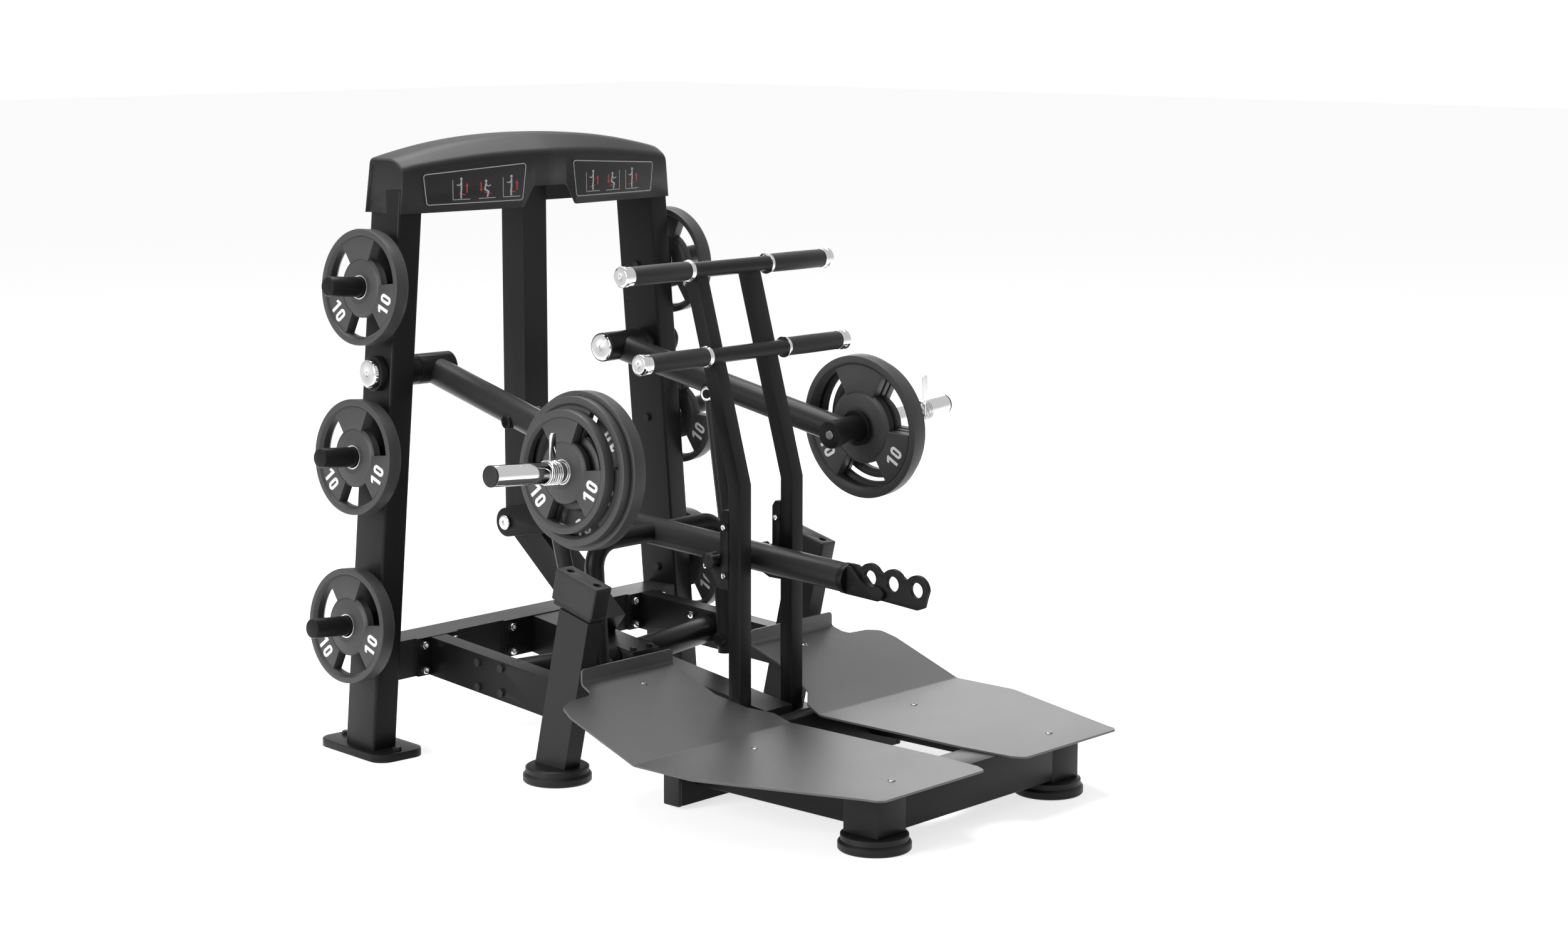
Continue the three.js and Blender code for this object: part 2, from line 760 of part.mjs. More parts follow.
const flangePlate = (middleX, width, boltSpread) => {
  const face = crossbeamFrontY - touchGap;
  let solid = block(
    point(middleX - width / 2, face - centreFlangeThickness, crossbeamLow),
    point(middleX + width / 2, face, crossbeamLow + crossbeamHeight),
  );
  for (const side of [-1, 1]) {
    for (const z of flangeBoltZ) {
      const seat = point(middleX + side * boltSpread / 2, face - centreFlangeThickness / 2, z);
      const head = seat.clone().add(point(0, -centreFlangeThickness / 2 - boltHead, 0));
      solid = joined(solid, rod(seat, head, boltRadius, boltSides));
    }
  }
  return solid;
};

const handlePivotY = handleFrontY + handleTube / 2;
const centreBeamSolid = () => {
  const plate = flangePlate(0, centreFlangeWidth, centreFlangeBoltSpread);
  return cut(joined(centreBeamTube(0), plate), rod(
    point(-centreBeamWidth, handlePivotY, handlePivotZ),
    point(centreBeamWidth, handlePivotY, handlePivotZ),
    boreRadius(handleAxleRadius, smallSides),
  ));
};
addMesh(machine, 'centre_beam', centreBeamSolid(), powderBlack);

const midLegShift = Math.tan(midLegLean);
const midLegAt = (z) => midLegY - midLegShift * (z - footHeight);
const midLegHalf = midLegDepth / Math.cos(midLegLean) / 2;
const stopFront = [
  stopRearTopY - stopLength * Math.cos(stopTilt),
  stopRearTopZ - stopLength * Math.sin(stopTilt),
];
const stopDown = [stopHeight * Math.sin(stopTilt), -stopHeight * Math.cos(stopTilt)];
const stopOutline = [
  [stopFront[0] + stopDown[0], stopFront[1] + stopDown[1]],
  [stopRearTopY + stopDown[0], stopRearTopZ + stopDown[1]],
  [stopRearTopY, stopRearTopZ],
  stopFront,
];
const stepDepth = stopStepHeight + touchGap;
const legTopZ = (y) => (
  stopOutline[0][1] + (y - stopOutline[0][0]) * Math.tan(stopTilt)
  - stepDepth / Math.cos(stopTilt)
);
const legTopAt = (offset) => {
  // Height where the leg's front or rear line meets the underside of the stop block
  const start = midLegAt(0) + offset;
  const slope = Math.tan(stopTilt);
  const level = legTopZ(0);
  return (level + slope * start) / (1 + slope * midLegShift);
};
const midLegTube = (grow) => {
  const half = midLegHalf + grow;
  const bottom = footHeight + touchGap;
  return sidePrism([
    [midLegAt(bottom) - half, bottom], [midLegAt(bottom) + half, bottom],
    [midLegAt(legTopAt(half)) + half, legTopAt(half)],
    [midLegAt(legTopAt(-half)) - half, legTopAt(-half)],
  ], midLegX - midLegWidth / 2 - grow, midLegX + midLegWidth / 2 + grow);
};

const sideBeamDirection = point(
  Math.sin(sideBeamSplay),
  -Math.cos(sideBeamSplay) * Math.cos(sideBeamSlope),
  -Math.sin(sideBeamSlope),
);
const sideBeamRear = point(
  sideBeamRearX,
  centreBeamStart,
  centreBeamRearZ - sideBeamHeight / 2,
);
const sideBeamTube = (grow) => {
  const start = sideBeamRear.clone().addScaledVector(sideBeamDirection, -overrun);
  const length = centreBeamStart - midLegY + midLegDepth / 4;
  const end = sideBeamRear.clone().addScaledVector(sideBeamDirection, length);
  const rearLimit = block(
    point(0, 0, 0),
    point(uprightFootX, centreBeamStart, centreBeamRearZ + overrun),
  );
  return bar(start, end, sideBeamWidth + 2 * grow, sideBeamHeight + 2 * grow).intersect(rearLimit);
};

const crossTubeStart = point(centreBeamWidth / 2 + touchGap, crossTubeInnerY, crossTubeZ);
const crossTubeRise = crossTubeOuterY - crossTubeInnerY;
const sideBeamInnerX = (y) => (
  sideBeamRearX + Math.tan(sideBeamSplay) * (centreBeamStart - y) - sideBeamWidth / 2
);
const crossTubeEnd = point(sideBeamInnerX(crossTubeOuterY), crossTubeOuterY, crossTubeZ);
const sideOut = point(Math.cos(sideBeamSplay), Math.sin(sideBeamSplay), 0);
const sideAlong = point(-Math.sin(sideBeamSplay), Math.cos(sideBeamSplay), 0);

const crossTubeSolid = () => {
  const along = crossTubeEnd.clone().sub(crossTubeStart).normalize();
  const tubeStart = crossTubeStart.clone().addScaledVector(along, -crossTubeRise);
  const tube = rod(tubeStart, crossTubeEnd, crossTubeRadius);
  const geometry = new THREE.BoxGeometry(
    2 * crossPlateThickness,
    crossPlateLength,
    crossPlateHeight,
  ).rotateZ(sideBeamSplay);
  const plate = solidOf(geometry.translate(crossTubeEnd.x, crossTubeEnd.y, crossTubeEnd.z));
  const beyond = centreBeamTube(touchGap);
  const keep = block(
    point(centreBeamWidth / 2, 0, 0),
    point(uprightFootX, uprightY, uprightTopZ),
  );
  return cut(joined(tube, plate).intersect(keep), beyond, sideBeamTube(touchGap));
};
addPair('cross_tube', crossTubeSolid(), powderBlack);

const sideBeamSolid = () => {
  const plate = flangePlate(sideFlangeX, sideFlangeWidth, sideFlangeBoltSpread);
  let solid = cut(sideBeamTube(0), midLegTube(touchGap));
  solid = solid.decompose().reduce((best, next) => (next.volume() > best.volume() ? next : best));
  solid = joined(solid, plate);
  const seat = crossTubeEnd.clone().addScaledVector(sideOut, sideBeamWidth - boltHead);
  for (const alongSide of [-1, 1]) {
    for (const upSide of [-1, 1]) {
      const start = seat.clone().addScaledVector(sideAlong, alongSide * crossBoltSpreadY / 2);
      start.z += upSide * crossBoltSpreadZ / 2;
      const end = start.clone().addScaledVector(sideOut, 2 * boltHead);
      solid = joined(solid, rod(start, end, boltRadius, boltSides));
    }
  }
  return solid;
};
addPair('side_beam', sideBeamSolid(), powderBlack);

// Frame: middle legs, stop blocks and feet

addPair('mid_leg', midLegTube(0), powderBlack);

const stopSolid = () => {
  const [lowX, highX] = [stopOuterX - stopWidth, stopOuterX];
  let solid = sidePrism(stopOutline, lowX, highX);
  const along = [Math.cos(stopTilt), Math.sin(stopTilt)];
  const down = [Math.sin(stopTilt), -Math.cos(stopTilt)];
  const corner = (base, forward, lower) => [
    base[0] + along[0] * forward + down[0] * lower,
    base[1] + along[1] * forward + down[1] * lower,
  ];
  const step = sidePrism([
    corner(stopOutline[0], stopStepInset, stopStepHeight),
    corner(stopOutline[1], -stopStepInset, stopStepHeight),
    corner(stopOutline[1], -stopStepInset, -stopStepInset),
    corner(stopOutline[0], stopStepInset, -stopStepInset),
  ], lowX + stopStepInset / 2, highX - stopStepInset / 2);
  solid = joined(solid, step);
  const middle = corner(stopFront, stopLength / 2, 0);
  for (const side of [-1, 1]) {
    const top = corner(middle, side * stopHoleSpread / 2, -overrun);
    const bottom = corner(middle, side * stopHoleSpread / 2, stopHoleDepth);
    const x = (lowX + highX) / 2;
    solid = cut(solid, rod(point(x, ...bottom), point(x, ...top), stopHoleRadius, smallSides));
  }
  return solid;
};
addPair('stop_block', stopSolid(), rubberBlack);

const footSolid = () => joined(
  rod(point(0, 0, 0), point(0, 0, footRingHeight), footRingRadius, fineSides),
  rod(point(0, 0, footRingHeight), point(0, 0, footHeight), footDiscRadius, fineSides),
);
const feet = [
  ['foot_mid_r', midLegX, midLegY], ['foot_mid_l', -midLegX, midLegY],
  ['foot_front_r', platformLegX, platformLegY], ['foot_front_l', -platformLegX, platformLegY],
];
for (const [name, x, y] of feet) {
  addMesh(machine, name, footSolid(), rubberBlack).position.set(x, y, 0);
}

// Platform

const platformTopZ = plateUnderZ - touchGap;
const riseSlope = Math.tan(footPlateRise);
const plateTopAt = (y) => (
  plateUnderZ + footPlateThickness + Math.max(0, y - footPlateBendY) * riseSlope
);
const inclineDrop = footPlateThickness / Math.cos(footPlateRise);

const platformSolid = () => {
  const half = platformLegSize / 2;
  const [frontY, backY] = [platformLegY - half, platformLegY + half];
  const outerX = platformLegX + half;
  const parts = [
    block(
      point(-outerX, frontY, platformTopZ - platformCrossHeight),
      point(outerX, backY, platformTopZ),
    ),
    block(
      point(-rearBeamHalfLength, rearBeamFrontY, rearBeamBottomZ),
      point(rearBeamHalfLength, rearBeamFrontY + rearBeamDepth, platformTopZ),
    ),
  ];
  for (const side of [-1, 1]) {
    const x = side * platformLegX;
    parts.push(block(
      point(x - half, frontY, footHeight + touchGap),
      point(x + half, backY, platformTopZ),
    ));
    parts.push(block(
      point(x - longBeamWidth / 2, platformLegY, platformTopZ - longBeamHeight),
      point(x + longBeamWidth / 2, rearBeamFrontY + overrun, platformTopZ),
    ));
    const capX = side * (rearBeamHalfLength + rearCapLength / 2);
    parts.push(block(
      point(capX - rearCapLength / 2, rearBeamFrontY, rearBeamBottomZ),
      point(capX + rearCapLength / 2, rearBeamFrontY + rearBeamDepth, platformTopZ),
    ));
    const railTop = (y) => plateTopAt(y) - inclineDrop - touchGap;
    const railLow = railHeight / Math.cos(footPlateRise);
    const [near, far] = [rearBeamFrontY + overrun, railEndY];
    parts.push(sidePrism([
      [near, railTop(near) - railLow], [far, railTop(far) - railLow],
      [far, railTop(far)], [near, railTop(near)],
    ], side * railX - railWidth / 2, side * railX + railWidth / 2));
  }
  return joined(...parts);
};
addMesh(machine, 'platform_frame', platformSolid(), powderBlack);

const footPlateSolid = () => {
  const rearY = footPlateFrontY + footPlateLength;
  const outline = footOutlineShares.map(([acrossShare, alongShare]) => [
    footPlateInnerX + footPlateWidth * acrossShare,
    footPlateFrontY + footPlateLength * alongShare,
  ]);
  const bendUnderY = footPlateBendY + footPlateThickness * Math.tan(footPlateRise / 2);
  const lipTopZ = plateTopAt(rearY) + footLipHeight;
  const side = [
    [footPlateFrontY, plateUnderZ], [bendUnderY, plateUnderZ],
    [rearY, plateTopAt(rearY) - inclineDrop], [rearY, lipTopZ],
    [rearY - footPlateThickness, lipTopZ],
    [rearY - footPlateThickness, plateTopAt(rearY - footPlateThickness)],
    [footPlateBendY, plateTopAt(footPlateBendY)],
    [footPlateFrontY, plateTopAt(footPlateBendY)],
  ];
  const sheet = sidePrism(side, 0, footPlateInnerX + footPlateWidth + overrun);
  let solid = sheet.intersect(planPrism(outline, 0, lipTopZ + overrun));
  for (const y of footScrewY) {
    const top = plateTopAt(y);
    const tilt = y > footPlateBendY ? footPlateRise : 0;
    const normal = point(0, -Math.sin(tilt), Math.cos(tilt));
    const seat = point(footScrewX, y, top).addScaledVector(normal, -footPlateThickness / 2);
    const head = seat.clone().addScaledVector(normal, footPlateThickness / 2 + footScrewHeight);
    solid = joined(solid, rod(seat, head, footScrewRadius, smallSides, footScrewRadius / 2));
  }
  return solid;
};
addPair('foot_plate', footPlateSolid(), treadBlack);

// Hood

// The hood's ends follow the uprights' outer faces up to the height of its end crown
const uprightReach = (
  (uprightWidth / 2) * Math.cos(uprightYaw) + (uprightDepth / 2) * Math.sin(uprightYaw)
);
const hoodHalfAt = (z) => leanAt(z) + uprightReach + hoodSideGap + hoodWall;

const hoodBody = (inset) => {
  const lowZ = inset > 0 ? hoodBottomZ - overrun : hoodBottomZ;
  const rise = hoodCrownZ - hoodBottomZ;
  const endCrownZ = hoodCrownZ - rise * hoodCrownDropShares[hoodCrownDropShares.length - 1];
  const lengthwise = (shareIndex, sign) => {
    const share = hoodStationShares[shareIndex] * sign;
    const bottomX = (hoodHalfAt(hoodBottomZ) - inset) * share;
    const topX = (hoodHalfAt(endCrownZ) - hoodEndDraft - inset) * share;
    const frontY = hoodFrontY + inset + hoodFrontSlope * Math.abs(bottomX);
    const frontZ = hoodFrontTopZ - inset - rise * hoodFrontDropShares[shareIndex];
    const crownZ = hoodCrownZ - inset - rise * hoodCrownDropShares[shareIndex];
    const rearZ = crownZ - hoodRearDrop;
    return [
      point(bottomX, frontY, lowZ),
      point(bottomX, hoodRearBottomY - inset, lowZ),
      point(topX, hoodRearTopY - inset, rearZ),
      point(topX, hoodRidgeRearY, crownZ),
      point(topX, hoodRidgeFrontY, crownZ),
      point(topX, frontY, Math.min(frontZ, crownZ)),
    ];
  };
  const sections = [];
  for (let i = hoodStationShares.length - 1; i > 0; i -= 1) {
    sections.push(lengthwise(i, -1));
  }
  for (let i = 0; i < hoodStationShares.length; i += 1) {
    sections.push(lengthwise(i, 1));
  }
  return loft(sections);
};

const hoodSolid = () => {
  const notch = frontPrism([
    [-hoodNotchBottomHalf, hoodBottomZ - overrun], [hoodNotchBottomHalf, hoodBottomZ - overrun],
    [hoodNotchTopHalf, hoodNotchTopZ], [-hoodNotchTopHalf, hoodNotchTopZ],
  ], 0, hoodRidgeFrontY);
  return cut(hoodBody(0), hoodBody(hoodWall), notch);
};
addMesh(machine, 'hood', hoodSolid(), hoodBlack);

// Belt arm

const beltArmZ = (y) => beltArmDatumZ - Math.tan(beltArmSlope) * (beltArmDatumY - y);
const latchPin = point(0, latchPinY, beltArmZ(latchPinY));

addMesh(machine, 'belt_axle', (() => {
  const reach = postSize / 2 + 2 * touchGap + forkThickness + runningGap;
  const ends = [-1, 1].map((side) => rod(
    point(side * reach, beltPivotY, beltPivotZ),
    point(side * (reach + beltCapWidth), beltPivotY, beltPivotZ),
    beltCapRadius,
  ));
  const shaftReach = reach + beltCapWidth / 2;
  const shaft = rod(
    point(-shaftReach, beltPivotY, beltPivotZ),
    point(shaftReach, beltPivotY, beltPivotZ),
    beltAxleRadius,
  );
  return joined(shaft, ...ends);
})(), chrome);

const forkPlate = () => {
  const inner = postSize / 2 + 2 * touchGap;
  const half = forkHeight / 2;
  const forward = [-Math.cos(forkRise), Math.sin(forkRise)];
  const normal = [Math.sin(forkRise), Math.cos(forkRise)];
  const length = (beltPivotY - forkFrontY) / Math.cos(forkRise);
  const corner = (distance, offset) => [
    beltPivotY + forward[0] * distance + normal[0] * offset,
    beltPivotZ + forward[1] * distance + normal[1] * offset,
  ];
  const plate = sidePrism([
    corner(length, half), corner(length, -half), corner(0, -half), corner(0, half),
  ], inner, inner + forkThickness);
  const end = rod(
    point(inner, beltPivotY, beltPivotZ),
    point(inner + forkThickness, beltPivotY, beltPivotZ),
    half,
  );
  return joined(plate, end);
};

const beltArmSolid = () => {
  const rear = point(0, beltArmRearY, beltArmZ(beltArmRearY));
  const front = point(0, beltArmFrontY, beltArmZ(beltArmFrontY));
  const direction = front.clone().sub(rear).normalize();
  const tube = rod(rear, front, beltArmRadius, roundSides);
  const capEnd = front.clone().addScaledVector(direction, beltCapRingWidth);
  const capStart = front.clone().addScaledVector(direction, -beltCapRingOverlap);
  const cap = rod(capStart, capEnd, beltCapRing, roundSides);
  const plate = forkPlate();
  const blockHalf = postSize / 2 + 2 * touchGap + forkThickness / 2;
  const blockLow = beltArmZ(beltArmRearY) - forkBlockHeight / 2;
  const forkBlock = block(
    point(-blockHalf, forkFrontY, blockLow),
    point(blockHalf, forkBlockRearY, blockLow + forkBlockHeight),
  );
  const legTop = point(yokeLegX, yokeY, yokeZ);
  const legEnd = point(yokeLegX, yokeEndY, yokeEndZ);
  const legDirection = legEnd.clone().sub(legTop).normalize();
  const tail = legEnd.clone().addScaledVector(legDirection, yokeTail);
  const middle = point(0, yokeY, yokeZ);
  const right = [...bend(middle, legTop, legEnd, yokeBend, yokeBendSteps), tail];
  const left = right.map((place) => point(-place.x, place.y, place.z)).reverse();
  const yoke = tubeAlong([...left, ...right], yokeRadius, smallSides);
  const pinAxle = (side) => rod(
    point(side * (yokeLegX - yokeRadius - yokeAxleOverhang), yokeEndY, yokeEndZ),
    point(side * yokeLegX, yokeEndY, yokeEndZ),
    yokeAxleRadius,
    smallSides,
  );
  const pinX = (distance) => point(distance, latchPin.y, latchPin.z);
  const pinReach = latchPinHalf + latchDiscWidth / 2;
  const pin = rod(pinX(-pinReach), pinX(pinReach), latchPinRadius, smallSides);
  const discs = [-1, 1].map((side) => rod(
    pinX(side * latchPinHalf),
    pinX(side * (latchPinHalf + latchDiscWidth)),
    latchDiscRadius,
    smallSides,
  ));
  const clevisRearY = beltArmFrontY - beltCapRingWidth / 2;
  const clevis = (side) => {
    const inner = beltPlateThickness / 2 + touchGap;
    const corners = clevisShares.map(([alongShare, upShare]) => [
      clevisRearY - clevisLength * alongShare,
      clevisBottomZ + clevisHeight * upShare,
    ]).reverse();
    const [a, b] = [side * inner, side * (inner + clevisThickness)];
    return sidePrism(corners, Math.min(a, b), Math.max(a, b));
  };
  const solid = joined(
    tube, cap, plate, mirrored(plate), forkBlock, yoke,
    pinAxle(1), pinAxle(-1), pin, ...discs, clevis(1), clevis(-1),
  );
  return cut(solid, rod(
    point(-postSize, beltPivotY, beltPivotZ),
    point(postSize, beltPivotY, beltPivotZ),
    boreRadius(beltAxleRadius),
  ));
};
addMesh(machine, 'belt_arm', beltArmSolid(), powderBlack);

const beltPlateSolid = () => {
  const half = beltPlateThickness / 2;
  const lobes = beltHoleY.map((y, i) => rod(
    point(-half, y, beltHoleZ[i]),
    point(half, y, beltHoleZ[i]),
    beltLobeRadius,
  ));
  const holes = beltHoleY.map((y, i) => rod(
    point(-half - overrun, y, beltHoleZ[i]),
    point(half + overrun, y, beltHoleZ[i]),
    beltHoleRadius,
    smallSides,
  ));
  const last = beltHoleY.length - 1;
  const rise = (beltHoleZ[0] - beltHoleZ[last]) / (beltHoleY[0] - beltHoleY[last]);
  const middleZ = (y) => beltHoleZ[last] + rise * (y - beltHoleY[last]);
  const capTilt = beltCapRing * Math.sin(beltArmSlope);
  const farY = beltArmFrontY - beltCapRingWidth - touchGap - capTilt;
  const heelY = farY - beltHeelLength;
  const neckY = heelY - 2 * (beltHeelHeight - beltPlateTop);
  const toe = beltToeShares.map(([alongShare, upShare]) => {
    const y = beltHoleY[last] - beltLobeRadius * alongShare;
    return [y, middleZ(y) - beltPlateDrop + beltLobeRadius * upShare];
  });
  const spine = sidePrism([
    ...toe, [farY, middleZ(farY) - beltPlateDrop], [farY, middleZ(farY) + beltHeelHeight],
    [heelY, middleZ(heelY) + beltHeelHeight], [neckY, middleZ(neckY) + beltPlateTop],
    [beltHoleY[last], middleZ(beltHoleY[last]) + beltPlateTop],
  ], -half, half);
  return cut(joined(spine, ...lobes), ...holes);
};
addMesh(machine, 'belt_hook_plate', beltPlateSolid(), satinBlack);

// Loading arms

const sleeveAxis = point(Math.cos(sleeveTilt), 0, Math.sin(sleeveTilt));
const armElbow = point(armElbowX, armElbowY, armElbowZ);
const onSleeve = (distance) => armElbow.clone().addScaledVector(sleeveAxis, distance);
const sleeveStart = sleeveHubOuter + touchGap;

const linkTop = point(linkTopX, linkTopY, linkTopZ);
const linkEnd = point(linkEndX, yokeEndY, yokeEndZ);
const onLinkAxis = (distance) => linkTop.clone().addScaledVector(armAxis, distance);
const linkHalf = linkEyeWidth / 2;

const loadingArmSolid = (side) => {
  const hubInner = armHubInners[side];
  const hub = rod(onArmAxis(-hubInner), onArmAxis(armHubOuter), armHubRadius);
  const root = point(armRootX, armRootY, armRootZ);
  const back = root.clone().sub(armElbow).normalize();
  const reach = (armPivotY - armElbowY) / back.y;
  const tube = rod(armElbow, armElbow.clone().addScaledVector(back, reach), armTubeRadius);
  const frontEnd = onSleeve(sleeveHubOuter - sleeveFlangeWidth / 2);
  const front = rod(onSleeve(-sleeveHubInner), frontEnd, sleeveHubRadius);
  const flange = rod(
    onSleeve(sleeveHubOuter - sleeveFlangeWidth),
    onSleeve(sleeveHubOuter),
    sleeveFlangeRadius,
  );
  const pinOuter = (linkPinOuterX - linkTopX) / armAxis.x;
  const pinInner = -linkHalf - linkCapWidth;
  const pin = rod(onLinkAxis(pinInner), onLinkAxis(pinOuter - overrun), linkPinRadius, smallSides);
  const capStart = -linkHalf - runningGap;
  const cap = rod(onLinkAxis(capStart - linkCapWidth), onLinkAxis(capStart), linkCapRadius);
  const washerStart = onLinkAxis(linkHalf + runningGap);
  const washer = rod(washerStart, onLinkAxis(pinOuter), linkWasherRadius, smallSides);
  const solid = joined(hub, tube, front, flange, pin, cap, washer);
  return cut(solid, rod(
    onArmAxis(-hubInner - overrun),
    onArmAxis(armHubOuter + overrun),
    boreRadius(armAxleRadius),
  ));
};
addMesh(machine, 'loading_arm_r', loadingArmSolid('r'), powderBlack);
addMesh(machine, 'loading_arm_l', mirrored(loadingArmSolid('l')), powderBlack);

const linkSolid = () => {
  const topEye = rod(onLinkAxis(-linkHalf), onLinkAxis(linkHalf), linkTopEyeRadius);
  const clearRadius = linkTopEyeRadius - touchGap;
  const endAt = (distance) => linkEnd.clone().add(point(distance, 0, 0));
  const endHalf = linkEndEyeWidth / 2;
  const endEye = rod(endAt(-endHalf), endAt(endHalf), linkEndEyeRadius);
  const shank = rod(linkTop, linkEnd, linkRodRadius);
  // The shank is cut back just inside the faces of the upper eye
  const face = linkHalf - touchGap;
  const clearArm = rod(onLinkAxis(face), onLinkAxis(3 * linkHalf), clearRadius);
  const clearCap = rod(onLinkAxis(-3 * linkHalf), onLinkAxis(-face), clearRadius);
  const solid = joined(cut(shank, clearArm, clearCap), topEye, endEye);
  const bore = rod(
    onLinkAxis(-linkHalf - overrun),
    onLinkAxis(linkHalf + overrun),
    boreRadius(linkPinRadius, smallSides),
    smallSides,
  );
  return cut(solid, bore);
};
addPair('link', linkSolid(), powderBlack);

// Pieces on the sleeves, each drawn along its own X

const chamferedRod = (start, end, radius, chamfer) => {
  const along = end.clone().sub(start);
  const length = along.length();
  const profile = [
    [0, 0], [radius, 0], [radius, length - chamfer], [radius - chamfer, length], [0, length],
  ];
  const outline = profile.map(([x, y]) => new THREE.Vector2(x, y));
  const geometry = new THREE.LatheGeometry(outline, roundSides);
  geometry.applyQuaternion(new THREE.Quaternion().setFromUnitVectors(point(0, 1, 0), along.normalize()));
  return solidOf(geometry.translate(start.x, start.y, start.z));
};

const sleeveSolid = () => {
  const along = (distance) => point(distance, 0, 0);
  const tip = sleeveStart + sleeveLength;
  return chamferedRod(along(sleeveStart), along(tip), sleeveRadius, sleeveChamfer);
};

const plateSolid = (size, boreOf) => {
  const along = (distance) => point(distance, 0, 0);
  const wall = size.rim;
  const disc = (radius, start, width, sides = fineSides) => (
    rod(along(start), along(start + width), radius, sides)
  );
  const webStart = (size.thickness - plateWeb) / 2;
  const inner = size.radius - wall;
  const rim = cut(
    disc(size.radius, 0, size.thickness),
    disc(inner, -overrun, size.thickness + 2 * overrun),
  );
  const web = disc(inner + plateWindowWall / 2, webStart, plateWeb);
  const hub = disc(size.hub, 0, size.thickness);
  const start = size.hub + plateHubWall;
  const windows = [];
  for (let i = 0; i < plateWindows; i += 1) {
    const middle = (i / plateWindows) * Math.PI * 2 - Math.PI / 2;
    const [from, to] = [middle - plateWindowSpan / 2, middle + plateWindowSpan / 2];
    const corners = [];
    for (let s = 0; s <= windowSteps; s += 1) {
      const angle = from + (to - from) * (s / windowSteps);
      const radius = inner - plateWindowWall;
      corners.push([radius * Math.cos(angle), radius * Math.sin(angle)]);
    }
    for (let s = windowSteps; s >= 0; s -= 1) {
      const angle = from + (to - from) * (s / windowSteps);
      corners.push([start * Math.cos(angle), start * Math.sin(angle)]);
    }
    windows.push(sidePrism(corners, webStart - overrun, webStart + plateWeb + overrun));
  }
  const bore = boreRadius(boreOf);
  return cut(
    joined(rim, cut(web, ...windows), hub),
    disc(bore, -overrun, size.thickness + 2 * overrun, roundSides),
  );
};

const collarSpine = () => {
  const coilRadius = (sleeveRadius + touchGap + wireRadius) / Math.cos(Math.PI / collarCurlSteps);
  const startAngle = Math.PI;
  const steps = Math.round(collarTurns * collarCurlSteps);
  const coil = [];
  for (let i = 0; i <= steps; i += 1) {
    const angle = startAngle + (i / collarCurlSteps) * Math.PI * 2;
    const along = collarPitch * (i / collarCurlSteps);
    coil.push(point(along, coilRadius * Math.cos(angle), coilRadius * Math.sin(angle)));
  }
  const lever = (end, neighbour, splay) => {
    const direction = end.clone().sub(neighbour).setX(0).normalize();
    const shoulder = end.clone().addScaledVector(direction, 2 * wireRadius);
    const tip = end.clone().addScaledVector(direction, leverLength);
    tip.x += splay;
    return [shoulder, tip];
  };
  const first = lever(coil[0], coil[1], -leverSplay / 4);
  const last = lever(coil[steps], coil[steps - 1], leverSplay);
  return [...first.reverse(), ...coil, ...last];
};

const leastGap = (points) => {
  const samples = [];
  const between = 6;
  for (let i = 0; i < points.length - 1; i += 1) {
    for (let s = 0; s < between; s += 1) {
      samples.push(points[i].clone().lerp(points[i + 1], s / between));
    }
  }
  const lengths = [0];
  for (let i = 1; i < samples.length; i += 1) {
    lengths.push(lengths[i - 1] + samples[i].distanceTo(samples[i - 1]));
  }
  let least = Infinity;
  for (let i = 0; i < samples.length; i += 1) {
    for (let j = i + 1; j < samples.length; j += 1) {
      if (lengths[j] - lengths[i] > 8 * wireRadius) {
        least = Math.min(least, samples[i].distanceTo(samples[j]));
      }
    }
  }
  return least - 2 * wireRadius;
};

// One unbroken wire: rings of few sides joined from the first lever to the last
const wireSolid = (points) => {
  const route = new Route(points);
  const last = points.length - 1;
  let side = point(1, 0, 0);
  const rings = points.map((place, index) => {
    const tangent = route.getTangentAt(index / last);
    side = side.clone().addScaledVector(tangent, -side.dot(tangent)).normalize();
    const other = new THREE.Vector3().crossVectors(tangent, side);
    const ring = [];
    for (let i = 0; i < collarSides; i += 1) {
      const angle = (i / collarSides) * Math.PI * 2;
      ring.push(place.clone()
        .addScaledVector(side, wireRadius * Math.cos(angle))
        .addScaledVector(other, wireRadius * Math.sin(angle)));
    }
    return ring.reverse();
  });
  return loft(rings.reverse());
};
const collarPoints = collarSpine();
console.log(`spring collar: least gap to itself ${leastGap(collarPoints).toFixed(2)} mm`);

const stack = [
  ['large', plateSizes.large], ['medium', plateSizes.medium], ['small', plateSizes.small],
];
for (const { side, frame } of sideFrames(armElbow, sleeveAxis)) {
  addMesh(frame, `sleeve_${side}`, sleeveSolid(), chrome);
  let reach = sleeveStart + loadedPlateStands[side];
  for (const [name, size] of stack) {
    const plate = addMesh(frame, `plate_${name}_${side}`, plateSolid(size, sleeveRadius), plateGrey);
    plate.position.x = reach;
    reach += size.thickness + touchGap;
  }
  const collar = addMesh(frame, `spring_collar_${side}`, wireSolid(collarPoints), chrome);
  collar.position.x = reach + collarStands[side];
  collar.rotation.x = side === 'r' ? 0 : collarLeftTurn;
}

// Storage horns with one small plate each

// The bores of the stored plates rest on top of the horns
const storedDrop = sleeveRadius - hornRadius;
hornHeights.forEach((z, index) => {
  const level = ['top', 'middle', 'bottom'][index];
  const root = point(leanAt(z), uprightY, z);
  const tip = root.clone().addScaledVector(leanNormal, hornReach);
  const outside = root.clone().addScaledVector(leanNormal, uprightWidth / 4);
  const horn = cut(chamferedRod(outside, tip, hornRadius, hornChamfer), grownUpright);
  addPair(`horn_${level}`, horn, satinBlack);
  for (const { side, frame } of sideFrames(root, leanNormal)) {
    const solid = plateSolid(plateSizes.stored, sleeveRadius);
    const plate = addMesh(frame, `plate_${level}_${side}`, solid, plateGrey);
    plate.position.set(storedPlateStands[index], 0, -storedDrop);
  }
});

// Handle frame

